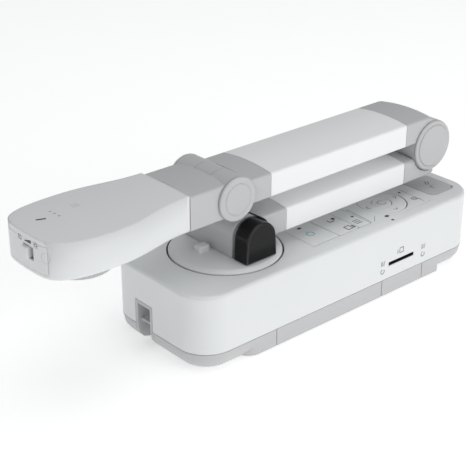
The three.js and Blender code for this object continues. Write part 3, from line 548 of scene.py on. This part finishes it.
bm = bmesh.new()
bmesh.ops.create_cube(bm, size=1.0)
bmesh.ops.scale(bm, verts=bm.verts, vec=Vector(STOP_SIZE) * MM)
bmesh.ops.bevel(
    bm, geom=bm.edges, offset=STOP_CORNER * MM, segments=4, profile=0.5, affect="EDGES", material=-1
)
stop_middle = disc_top + STOP_HEIGHT - STOP_SIZE[2] / 2
bmesh.ops.translate(bm, verts=bm.verts, vec=(along(STOP_X), STOP_Y * MM, stop_middle * MM))
# The stop takes the same lighter grey, which is painted light.
stop = add_piece("turntable_stop", bm, "turntable", turntable_grey_painted_light, slot="grey_plastic", sharp=50)
print("stop faces", len(stop.data.polygons))

# %% [markdown]
# ### Dark linings
# The round gap about the turntable and the card slot both look black, because nothing lights what is behind
# them. A thin black sleeve lines each: a turned ring on the well's wall, and a short rectangular sleeve in
# the case's wall. Each is a closed sleeve, so the opening through it stays open.

# %% The well's ring
WELL_GAP = 1.2  # between the disc and the well's wall
LINING_OFF = 0.04  # between a lining and the wall behind it
RING_REACH = 0.45  # from the wall to the ring's inner face

well_radius = disc_radius + WELL_GAP
ring_inner, ring_outer = well_radius - RING_REACH, well_radius - LINING_OFF
ring_foot, ring_lip = under + 1.0, BASE_TOP / MM - 0.35
corners = [(ring_inner, ring_foot), (ring_outer, ring_foot), (ring_outer, ring_lip), (ring_inner, ring_lip)]
bm = spun([*corners, corners[0]], 128)
bmesh.ops.translate(bm, verts=bm.verts, vec=disc_centre)
well_ring = add_piece("well_ring", bm, "base", black_plastic, slot="black_plastic", sharp=40)
print("well radius", round(well_radius, 2), "mm, ring faces", len(well_ring.data.polygons))

# %% The card slot's sleeve
SLOT_START, SLOT_WIDTH = 175.4, 27
SLOT_MIDDLE = 25.8  # height of the slot's middle above the table
SLOT_REACH = 1.46  # from the middle to the sleeve's outer face
SLEEVE_WALL = 0.35


def sleeve(bm, low, high, wall):
    """A rectangular tube along Y between two corners: a block whose ends are inset, opened and bridged."""
    bmesh.ops.create_cube(bm, size=1.0)
    bmesh.ops.scale(bm, verts=bm.verts, vec=high - low)
    bmesh.ops.translate(bm, verts=bm.verts, vec=(low + high) / 2)
    ends = [face for face in bm.faces if abs(face.normal.y) > 0.5]
    bmesh.ops.inset_individual(bm, faces=ends, thickness=wall)
    mouths = [edge for face in ends for edge in face.edges]
    bmesh.ops.delete(bm, geom=ends, context="FACES_ONLY")
    bmesh.ops.bridge_loops(bm, edges=mouths)


case_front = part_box("upper_case")[0].y
slot_left = along(SLOT_START) + LINING_OFF * MM
slot_right = along(SLOT_START + SLOT_WIDTH) - LINING_OFF * MM
slot_low = Vector((slot_left, case_front + 0.3 * MM, (SLOT_MIDDLE - SLOT_REACH) * MM))
slot_high = Vector((slot_right, case_front + 2.4 * MM, (SLOT_MIDDLE + SLOT_REACH) * MM))
bm = bmesh.new()
sleeve(bm, slot_low, slot_high, SLEEVE_WALL * MM)
slot_lining = add_piece("card_slot_lining", bm, "base", black_plastic, slot="black_plastic", sharp=30)
print("slot", round((slot_right - slot_left) / MM, 1), "mm wide, faces", len(slot_lining.data.polygons))

# %% [markdown]
# ### Hinge caps
# A cap closes each end of a hinge pin: a disc with a soft outer bevel and a raised inner disc. The elbow's
# step stands proud near its edge; on the head's cap the inner circle is only a fine groove.

# %% Elbow, head and lower hinge caps
CAP_CORNER = 1.1  # radius of the soft outer edge


def add_cap(name, node, inner, step, body):
    """A spun cap in the box of a CAD node, with an inner disc of its own radius and height."""
    low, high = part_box(node)
    radius = (high.x - low.x) / 2 / MM
    side = -1 if low.y < 0 else 1
    depth = (high.y - low.y) / MM
    rim = depth - step
    profile = [(0, 0), (radius - 0.2, 0), (radius, 0.2)]
    profile += fillet(radius - CAP_CORNER, rim - CAP_CORNER, CAP_CORNER, 0, 90, 6)
    profile += [(radius - 1.5, rim), (inner + 0.8, rim), (inner + 0.5, rim), (inner + 0.15, rim - 0.3)]
    profile += [(inner - 0.1, rim - 0.05), (inner - 0.45, depth - 0.08), (inner - 0.9, depth)]
    profile += [(inner - 1.3, depth), (0, depth)]
    bm = spun(profile, 112)
    lay_down = Matrix.Rotation(math.radians(-90 * side), 3, "X")
    bmesh.ops.rotate(bm, verts=bm.verts, cent=(0, 0, 0), matrix=lay_down)
    middle = (low + high) / 2
    foot_y = low.y if side > 0 else high.y
    bmesh.ops.translate(bm, verts=bm.verts, vec=(middle.x, foot_y, middle.z))
    return add_piece(name, bm, body, grey_plastic, [node], sharp=50)


caps = [
    add_cap("elbow_disc_front", "elbow_cap_front", 15.9, 0.7, "elbow_hub"),
    add_cap("elbow_disc_rear", "elbow_cap_rear", 15.9, 0.7, "elbow_hub"),
    add_cap("head_disc_front", "head_cap_front", 10.7, 0.35, "head"),
    add_cap("head_disc_rear", "head_cap_rear", 10.7, 0.35, "head"),
    add_cap("lower_hinge_disc", "hinge_end_cap", 8.6, 0.3, "turntable"),
]
print("caps:", len(caps), "faces", [len(cap.data.polygons) for cap in caps])

# %% [markdown]
# ### Feet
# Four rubber feet lift the base by a millimetre and a half. Each is a short plug with a rounded sole.

# %% Rubber feet
SOLE_CORNER = 0.6

for number in range(1, 5):
    low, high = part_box(f"foot_{number}")
    radius = (high.x - low.x) / 2 / MM
    height = (high.z - low.z) / MM
    sole = fillet(radius - SOLE_CORNER, SOLE_CORNER, SOLE_CORNER, -90, 0, 5)
    bm = spun([(0, 0), *sole, (radius, height), (0, height)], 48)
    bmesh.ops.translate(bm, verts=bm.verts, vec=((low.x + high.x) / 2, (low.y + high.y) / 2, low.z))
    add_piece(f"rubber_sole_{number}", bm, "base", foot_rubber, [f"foot_{number}"])
print("foot height", round(height, 2), "mm")

# %% [markdown]
# ### Case screws
# Four screws hold the two halves of the base together. Each stands head down in a deep seat under the lower
# case with its shank up in the boss above. It is one spun profile: a rounded pan head with a shallow dimple
# in its middle, then the shank and its tapered tip.

# %% Case screws
SCREW_PLACES = [(26, -36), (26, 36), (246, -36), (246, 36)]  # along the base, across it


def add_case_screw(number, x, y):
    """A pan head screw, spun upright in millimetres above the table."""
    profile = [(0, 1.9), (0.9, 1.7), (1.1, 1.5)] + fillet(2.6, 2.3, 0.8, -90, 0, 4)
    profile += [(3.4, 2.55), (1.4, 2.6), (1.4, 13.2), (0.9, 14.2), (0, 14.4)]
    bm = spun(profile, 40)
    bmesh.ops.translate(bm, verts=bm.verts, vec=(along(x), y * MM, 0))
    return add_piece(f"case_screw_{number}", bm, "base", steel, slot="steel")


case_screws = [add_case_screw(number, x, y) for number, (x, y) in enumerate(SCREW_PLACES, 1)]
print("case screws:", len(case_screws))

# %% [markdown]
# ## The lens
# Under the head a ribbed ring turns round a fixed barrel, and the glass sits deep in a stepped hood. The
# ring's ribs are cut by spinning a plain band and pulling every second pair of its outer columns inwards.

# %% Focus ring
RING_BORE = 17.1
BORE_CHAMFER = 1.6
RIBS = 72
COLUMNS_PER_RIB = 4
RIB_DEPTH = 0.55

ring_low, ring_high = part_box("lens_ring")
ring_radius = (ring_high.y - ring_low.y) / 2 / MM
ring_bottom, ring_top = ring_low.z / MM, ring_high.z / MM
band = [(RING_BORE + BORE_CHAMFER, ring_bottom), (ring_radius - 0.9, ring_bottom)]
band += [(ring_radius - 0.3, ring_bottom + 0.3), (ring_radius, ring_bottom + 0.8)]
band += [(ring_radius, ring_top - 0.5), (ring_radius - 0.5, ring_top), (RING_BORE, ring_top)]
band += [(RING_BORE, ring_bottom + BORE_CHAMFER), (RING_BORE + BORE_CHAMFER, ring_bottom)]
columns = RIBS * COLUMNS_PER_RIB
bm = spun(band, columns)
for vert in bm.verts:
    reach = math.hypot(vert.co.x, vert.co.y) / MM
    column = round(math.atan2(vert.co.y, vert.co.x) / math.tau * columns) % COLUMNS_PER_RIB
    if reach > ring_radius - 0.35 and column in (0, 1):
        factor = (reach - RIB_DEPTH) / reach
        vert.co.x *= factor
        vert.co.y *= factor
lens_centre = Vector((centre_of("lens_ring").x, 0, 0))
bmesh.ops.translate(bm, verts=bm.verts, vec=lens_centre)
focus_ring = add_piece("focus_ring", bm, "lens_ring", grey_plastic, ["lens_ring"], sharp=30)
print("focus ring faces", len(focus_ring.data.polygons), "ribs", RIBS)

# %% [markdown]
# ### The barrel
# The barrel is a tube whose mouth narrows in five ledges towards the glass, which keeps stray light out of
# it. The whole of it is one spun profile, and the ledges are laid out by a loop.

# %% Barrel
BARREL_RADIUS = 16.8
MOUTH_RADIUS = 14.6
THROAT_RADIUS = 8.3  # above the glass's seat
SEAT_RADIUS = 7.0  # the thin flange that holds the glass
LEDGES = 5
LEDGE_WIDTH = 1.24
LEDGE_HEIGHT = 1.0

tube_low, tube_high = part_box("lens_tube")
tube_bottom, tube_top = tube_low.z / MM, tube_high.z / MM
hood = [(MOUTH_RADIUS, tube_bottom), (BARREL_RADIUS - 0.4, tube_bottom), (BARREL_RADIUS, tube_bottom + 0.4),
        (BARREL_RADIUS, tube_top), (THROAT_RADIUS, tube_top), (THROAT_RADIUS, 92.0), (SEAT_RADIUS, 92.0),
        (SEAT_RADIUS, 91.0)]
for ledge in range(LEDGES):
    ledge_radius = 8.4 + ledge * LEDGE_WIDTH
    hood += [(ledge_radius, 90.7 - ledge * LEDGE_HEIGHT), (ledge_radius, 89.9 - ledge * LEDGE_HEIGHT)]
hood += [(MOUTH_RADIUS, tube_bottom)]
bm = spun(hood, 96)
bmesh.ops.translate(bm, verts=bm.verts, vec=lens_centre)
barrel = add_piece("lens_barrel", bm, "head", black_plastic, ["lens_tube"])
print("barrel faces", len(barrel.data.polygons))

# %% [markdown]
# ### The glasses
# The lens is a thick disc with two gently curved faces, and the lamp's window is a shallow dome. Both are
# turned, and a list of radii and heights above their lowest point gives the curves.

# %% Lens and lamp glasses
GLASS_CURVE = [(0, 0), (2.5, 0.06), (5.0, 0.3), (6.6, 0.6), (8.0, 0.6)]
GLASS_CURVE += [(8.0, 3.6), (6.0, 3.8), (3.0, 4.1), (0, 4.2)]
LAMP_CURVE = [(0, 0), (2.2, 0.1), (4.0, 0.6), (4.7, 0.9), (5.0, 1.3)]

glass_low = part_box("lens_glass")[0].z / MM
bm = spun([(radius, glass_low + rise) for radius, rise in GLASS_CURVE], 64)
bmesh.ops.translate(bm, verts=bm.verts, vec=lens_centre)
front_glass = add_piece("lens_element", bm, "head", clear_glass, ["lens_glass"], sharp=40)

lamp_low, lamp_high = (corner.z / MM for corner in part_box("lamp_lens"))
dome = [(radius, lamp_low + rise) for radius, rise in LAMP_CURVE]
bm = spun([*dome, (5.0, lamp_high), (0, lamp_high)], 48)
bmesh.ops.translate(bm, verts=bm.verts, vec=(centre_of("lamp_lens").x, 0, 0))
lamp = add_piece("lamp_window", bm, "head", frosted_glass, ["lamp_lens"], sharp=40)
print("glass faces", len(front_glass.data.polygons), "and", len(lamp.data.polygons))

# %% [markdown]
# ## Printed marks
# The symbols on the keys and shells are screened ink, thinner than a hair. Each is drawn flat with a few
# simple shapes, dropped onto the surface under it by casting a ray from each of its corners, and given a
# little thickness, so it follows a crowned top as real print does. All symbols here are generic.

# %% Shapes to draw with
def ink_ring(bm, x, y, outer, inner, start=0.0, sweep=360.0):
    """A ring or part of one, spun from a short edge."""
    turn = math.radians(start)
    ends = [bm.verts.new((x + r * math.cos(turn), y + r * math.sin(turn), 0)) for r in (inner, outer)]
    edge = bm.edges.new(ends)
    bmesh.ops.spin(
        bm, geom=ends + [edge], cent=(x, y, 0), axis=(0, 0, 1), angle=math.radians(sweep), steps=28,
        use_merge=sweep >= 360.0,
    )


def ink_disc(bm, x, y, radius, squash=1.0):
    """A filled dot, round or squashed to an oval."""
    made = bmesh.ops.create_circle(bm, cap_ends=True, segments=24, radius=radius)
    bmesh.ops.scale(bm, verts=made["verts"], vec=(1, squash, 1))
    bmesh.ops.translate(bm, verts=made["verts"], vec=(x, y, 0))


def ink_bar(bm, x0, y0, x1, y1, width):
    """A straight stroke between two points, cut into short lengths so it can follow a curve."""
    length = math.hypot(x1 - x0, y1 - y0)
    made = bmesh.ops.create_grid(bm, x_segments=max(1, round(length / 3)), y_segments=1, size=0.5)
    bmesh.ops.scale(bm, verts=made["verts"], vec=(length, width, 1))
    turn = Matrix.Rotation(math.atan2(y1 - y0, x1 - x0), 3, "Z")
    bmesh.ops.rotate(bm, verts=made["verts"], cent=(0, 0, 0), matrix=turn)
    bmesh.ops.translate(bm, verts=made["verts"], vec=((x0 + x1) / 2, (y0 + y1) / 2, 0))


def ink_box(bm, x0, y0, x1, y1, width):
    """The outline of a rectangle in four strokes that don't cross."""
    half = width / 2
    ink_bar(bm, x0 - half, y0, x1 + half, y0, width)
    ink_bar(bm, x0 - half, y1, x1 + half, y1, width)
    ink_bar(bm, x0, y0 + half, x0, y1 - half, width)
    ink_bar(bm, x1, y0 + half, x1, y1 - half, width)


def ink_rays(bm, x, y, start, end, width):
    """Eight short strokes pointing away from a place, as round a lamp sign."""
    for ray in range(8):
        turn = ray * math.tau / 8
        ink_bar(bm, x + start * math.cos(turn), y + start * math.sin(turn),
                x + end * math.cos(turn), y + end * math.sin(turn), width)


# %% Laying ink on a surface
# for each side: how two drawn coordinates become a start outside the object, and the way a ray leaves it
PLANES = {
    "top": (lambda u, v: Vector((along(u), v * MM, 0.2)), Vector((0, 0, -1))),
    "front": (lambda u, v: Vector((along(u), -0.2, v * MM)), Vector((0, 1, 0))),
    "end": (lambda u, v: Vector((-0.4, u * MM, v * MM)), Vector((1, 0, 0))),
}


def surface_of(pieces):
    """A ray-cast tree over some finished pieces."""
    joined = bmesh.new()
    for piece in pieces:
        joined.from_mesh(piece.data)
    tree = BVHTree.FromBMesh(joined)
    joined.free()
    return tree


INK_HEIGHT = 0.03 * MM


def lay_ink(name, draw, side, tree, body, finish):
    """Drops a flat drawing in millimetres onto the surface seen from one side, and gives it thickness."""
    bm = bmesh.new()
    draw(bm)
    place, ray = PLANES[side]
    missed = []
    for vert in bm.verts:
        hit = tree.ray_cast(place(vert.co.x, vert.co.y), ray)[0]
        if hit is None:
            missed.append(vert)
        else:
            vert.co = hit
    bmesh.ops.delete(bm, geom=missed, context="VERTS")
    for face in bm.faces:
        face.normal_update()
        if face.normal.dot(ray) > 0:
            face.normal_flip()
    grown = bmesh.ops.extrude_face_region(bm, geom=bm.faces[:])
    top = [part for part in grown["geom"] if isinstance(part, bmesh.types.BMVert)]
    bmesh.ops.translate(bm, verts=top, vec=-ray * INK_HEIGHT)
    return add_piece(name, bm, body, finish, slot=SLOT_OF_INK[finish.name], sharp=30)


# %% [markdown]
# ### Marks on the keys
# A pale blue ring on the power key, a dark light beside it, arrows and bars on the keys in the next column,
# small dots that are indicator lights, and thin outlines. The marks on a key ride on that key, so they go
# down with it.

# %% Key marks
PAD_X, PAD_Y = 199, -19  # middle of the arrow pad
LAMP_X, LAMP_Y = 162.0, 18.0  # middle of the lamp key's sign


def key_mark(name, key, finish, draw):
    """Lays a drawing on the top of a key."""
    return lay_ink(name, draw, "top", surface_of([skins[key]]), BODY_OF_NODE[key], finish)


def draw_power(bm):
    """A broken ring with a stroke in its gap."""
    ink_ring(bm, 122.6, -22.1, 3.3, 2.3, 120, 300)
    ink_bar(bm, 122.6, -20.6, 122.6, -18.0, 0.95)


def draw_freeze(bm):
    """A small frame beside a bar, and below them a corner and a dot."""
    ink_box(bm, 147.6, -35.2, 152.2, -30.2, 0.75)
    ink_bar(bm, 154.2, -35.4, 154.2, -31.2, 1.4)
    ink_bar(bm, 146.2, -18.2, 150.6, -18.2, 0.85)
    ink_bar(bm, 146.2, -18.2, 146.2, -14.6, 0.85)
    ink_disc(bm, 151.8, -15.2, 1.5)


def draw_source(bm):
    """A box with a stroke leaving it."""
    ink_box(bm, 119.2, 14.6, 126.2, 20.2, 0.7)
    ink_bar(bm, 122.7, 21.8, 122.7, 24.8, 0.9)


def draw_focus(bm):
    """A ring round a dot."""
    ink_ring(bm, 146.0, 18.0, 2.9, 2.3)
    ink_disc(bm, 146.0, 18.0, 0.9)


def draw_lamp(bm):
    """A ring with rays."""
    ink_ring(bm, LAMP_X, LAMP_Y, 1.7, 1.2)
    ink_rays(bm, LAMP_X, LAMP_Y, 2.3, 3.3, 0.45)


def draw_menu(bm):
    """Three bars."""
    for row in range(3):
        ink_bar(bm, 158.8, -32.2 + row * 2.3, 164.8, -32.2 + row * 2.3, 0.8)


def draw_arrows(bm):
    """Four arrowheads round the pad."""
    for quarter in range(4):
        turn = quarter * math.pi / 2
        tip = (PAD_X + 15.6 * math.cos(turn), PAD_Y + 15.6 * math.sin(turn))
        for side in (-1, 1):
            back = (PAD_X + 13.6 * math.cos(turn) - side * 1.9 * math.sin(turn),
                    PAD_Y + 13.6 * math.sin(turn) + side * 1.9 * math.cos(turn))
            ink_bar(bm, *tip, *back, 0.7)


# %% Laying the key marks
key_marks = [
    key_mark("power_symbol", "power_key", blue_ink, draw_power),
    key_mark("power_light", "power_key", dark_ink, lambda bm: ink_disc(bm, 122.5, -10.9, 1.9, 0.6)),
    key_mark("freeze_symbol", "freeze_key", dark_ink, draw_freeze),
    key_mark("menu_symbol", "menu_key", grey_ink, draw_menu),
    key_mark("menu_light", "menu_key", dark_ink, lambda bm: ink_disc(bm, 165.0, -21.8, 1.1)),
    key_mark("source_symbol", "source_key", dark_ink, draw_source),
    key_mark("focus_symbol", "focus_key", dark_ink, draw_focus),
    key_mark("lamp_symbol", "lamp_key", dark_ink, draw_lamp),
    key_mark("arrow_symbols", "arrow_pad", grey_ink, draw_arrows),
    key_mark("enter_symbol", "enter_key", grey_ink, lambda bm: ink_ring(bm, PAD_X, PAD_Y, 3.4, 2.9, 40, 280)),
]
print("key marks:", len(key_marks))

# %% [markdown]
# ### Marks on the panel and the window
# Outside the keys the panel carries two lights, a few small dots and short lines beside the arrow pad. The
# dark window over the remote control's receiver has one faint mark and a pin dot in its corner.

# %% Panel and window marks
panel_tree = surface_of([skins["control_panel"], skins["upper_case"], skins["receiver_window"]])


def panel_mark(name, finish, draw, side="top"):
    """Lays a drawing on the base."""
    return lay_ink(name, draw, side, panel_tree, "base", finish)


def draw_lights(bm):
    """Three indicator lights outside the keys."""
    ink_disc(bm, 184.6, -37.6, 2.0, 0.75)
    ink_disc(bm, 183.2, -44.6, 1.2)
    ink_disc(bm, 222.4, -15.6, 1.1)


def draw_zoom(bm):
    """A magnifying glass."""
    ink_ring(bm, 222.6, -30.0, 2.3, 1.6)
    ink_bar(bm, 224.2, -31.6, 226.2, -33.6, 0.8)
    ink_bar(bm, 221.6, -30.0, 223.6, -30.0, 0.6)


def draw_outline(bm):
    """Thin lines on both sides of the pad."""
    ink_bar(bm, 170.6, -10.5, 168.9, -37.6, 0.4)
    ink_bar(bm, 226.2, -12.5, 225.2, -37.4, 0.4)
    ink_bar(bm, 171.4, -37.9, 178.2, -31.6, 0.35)


def draw_window(bm):
    """Two strokes and part of a ring."""
    ink_bar(bm, 249.0, -19.6, 252.4, -14.6, 0.7)
    ink_bar(bm, 250.8, -20.6, 254.2, -15.6, 0.7)
    ink_ring(bm, 250.0, -25.0, 2.2, 1.5, 30, 240)


panel_marks = [
    panel_mark("panel_lights", dark_ink, draw_lights),
    panel_mark("zoom_symbol", grey_ink, draw_zoom),
    panel_mark("panel_lines", grey_ink, draw_outline),
    panel_mark("window_symbol", grey_ink, draw_window),
    panel_mark("window_dot", dark_ink, lambda bm: ink_disc(bm, 260.6, -34.4, 0.7)),
]
print("panel marks:", len(panel_marks))

# %% [markdown]
# ### Marks on the front wall
# A card sign stands over the memory card's slot, and a small sheet sign and a circle stand over each paper
# mark on the lower lip, where a sheet's edge is lined up.

# %% Front wall marks
def draw_card(bm):
    """A card beside a bar."""
    ink_box(bm, 186.8, 31.4, 190.6, 35.2, 0.65)
    ink_bar(bm, 184.8, 31.2, 184.8, 34.4, 0.7)


def draw_sheet_marks(bm):
    """A sheet sign and an open ring at both paper marks."""
    for x in (169.2, 212.9):
        ink_bar(bm, x - 1.5, 26.2, x - 1.5, 30.0, 0.6)
        ink_bar(bm, x - 0.2, 26.2, x - 0.2, 30.0, 0.6)
        ink_bar(bm, x + 0.9, 26.2, x + 2.1, 30.0, 0.6)
        ink_ring(bm, x, 21.8, 2.1, 1.45, 100, 300)


front_marks = [
    panel_mark("card_symbol", grey_ink, draw_card, "front"),
    panel_mark("sheet_symbols", grey_ink, draw_sheet_marks, "front"),
]
print("front marks:", len(front_marks))

# %% [markdown]
# ### Marks on the head
# On top, three pale dots, a dark dash that is a light and a faint square of dots. On the end, three signs
# over the lamp switch for its positions and a shallow oval.

# %% Head marks
LIT_Y, LIT_Z = -12.4, 114.9  # middle of the sign for the lamp being on
head_tree = surface_of([skins["head_shell"], skins["switch_bezel"]])


def head_mark(name, finish, draw, side):
    """Lays a drawing on the head."""
    return lay_ink(name, draw, side, head_tree, "head", finish)


def draw_dots(bm):
    """Three dots in a row."""
    for x, y in ((-65.7, 12.6), (-65.3, 8.3), (-65.2, 3.6)):
        ink_disc(bm, x, y, 0.95)


def draw_faint(bm):
    """Nine tiny dots in a square."""
    for row in range(3):
        for column in range(3):
            ink_disc(bm, -51.2 + row * 1.9, 8.0 + column * 1.9, 0.42)


def draw_positions(bm):
    """A filled box and a lamp sign, for the two ends of the switch."""
    ink_box(bm, 2.3, 113.6, 5.3, 116.2, 0.45)
    ink_bar(bm, 3.8, 114.4, 3.8, 115.5, 0.6)
    ink_ring(bm, LIT_Y, LIT_Z, 1.3, 0.8)
    ink_rays(bm, LIT_Y, LIT_Z, 1.7, 2.3, 0.4)


def draw_wedge(bm):
    """Six steps that grow from left to right."""
    for step in range(6):
        ink_bar(bm, -1.8 - step * 1.1, 114.2, -1.8 - step * 1.1, 114.5 + 0.32 * (step + 1), 1.0)


def draw_oval(bm):
    """A thin oval on the end wall."""
    ink_ring(bm, 0, 0, 1.0, 0.9)
    bmesh.ops.scale(bm, verts=bm.verts, vec=(2.9, 3.6, 1))
    bmesh.ops.translate(bm, verts=bm.verts, vec=(-19.5, 108.6, 0))


head_marks = [
    head_mark("head_dots", pale_ink, draw_dots, "top"),
    head_mark("head_light", dark_ink, lambda bm: ink_bar(bm, -79.0, 7.8, -73.4, 5.4, 1.6), "top"),
    head_mark("head_faint_dots", pale_ink, draw_faint, "top"),
    head_mark("switch_symbols", grey_ink, draw_positions, "end"),
    head_mark("switch_wedge", dark_ink, draw_wedge, "end"),
    head_mark("sensor_oval", faint_ink, draw_oval, "end"),
]
print("head marks:", len(head_marks))

# %% [markdown]
# ## Floor, light and camera
# The studio's floor is plain pale paper that glows a little, so it looks white all round the object. It is a
# flat grid, far larger than the object.

# %% The floor
FLOOR_SIZE = 6.0
FLOOR_GLOW = 0.42

bm = bmesh.new()
bmesh.ops.create_grid(bm, x_segments=1, y_segments=1, size=FLOOR_SIZE)
floor_mesh = bpy.data.meshes.new("studio_floor")
bm.to_mesh(floor_mesh)
bm.free()
studio_floor = bpy.data.objects.new("studio_floor", floor_mesh)
bpy.context.collection.objects.link(studio_floor)
floor_finish = bpy.data.materials.new("studio_paper")
floor_finish.use_nodes = True
floor_shader = floor_finish.node_tree.nodes["Principled BSDF"]
floor_shader.inputs["Base Color"].default_value = (0.93, 0.93, 0.93, 1)
floor_shader.inputs["Roughness"].default_value = 0.9
floor_shader.inputs["Specular IOR Level"].default_value = 0.1
floor_shader.inputs["Emission Color"].default_value = (1, 1, 1, 1)
floor_shader.inputs["Emission Strength"].default_value = FLOOR_GLOW
floor_mesh.materials.append(floor_finish)
print("floor", 2 * FLOOR_SIZE, "m wide")

# %% [markdown]
# ### Lights
# Two wide soft boxes share the work: one stands low on the card slot's side, the other hangs above. A pale
# sky fills the rest. The side walls end up the brightest faces, and the tops are a step darker.

# %% The lights
SKY_COLOUR = (0.97, 0.985, 1.0, 1)
SKY_STRENGTH = 0.36

world = bpy.data.worlds.new("studio")
bpy.context.scene.world = world
world.use_nodes = True
sky = world.node_tree.nodes["Background"]
sky.inputs["Color"].default_value = SKY_COLOUR
sky.inputs["Strength"].default_value = SKY_STRENGTH


def soft_box(name, place, target, size, power):
    """A rectangular area light in watts, turned towards a target."""
    light = bpy.data.lights.new(name, "AREA")
    light.shape = "RECTANGLE"
    light.size, light.size_y = size
    light.energy = power
    lamp_object = bpy.data.objects.new(name, light)
    bpy.context.collection.objects.link(lamp_object)
    lamp_object.location = place
    lamp_object.rotation_euler = (Vector(target) - Vector(place)).to_track_quat("-Z", "Y").to_euler()


soft_box("key_box", place=(0.35, -1.7, 0.75), target=(0, 0, 0.06), size=(1.6, 1.1), power=10.2)
soft_box("top_box", place=(0.1, -0.2, 1.9), target=(0, 0, 0.05), size=(1.8, 1.8), power=10.0)
print("lights:", len(bpy.data.lights))

# %% [markdown]
# ### Camera
# One long lens, a little under a metre away, looks down past the head's end along the whole object.

# %% The camera
CAMERA_PLACE = (-0.5093, -0.5607, 0.4284)
CAMERA_AIM = (0.5926, 0.6767, -0.4370)  # the way it looks
CAMERA_LENS = 93.8

camera_data = bpy.data.cameras.new("studio_camera")
camera_data.lens = CAMERA_LENS
camera_data.sensor_width = 36.0
camera_data.clip_start = 0.01
camera = bpy.data.objects.new("studio_camera", camera_data)
bpy.context.collection.objects.link(camera)
camera.location = CAMERA_PLACE
camera.rotation_euler = Vector(CAMERA_AIM).to_track_quat("-Z", "Y").to_euler()
bpy.context.scene.camera = camera
bpy.context.scene.view_settings.view_transform = "Standard"
print("camera at", [round(v, 3) for v in camera.location])
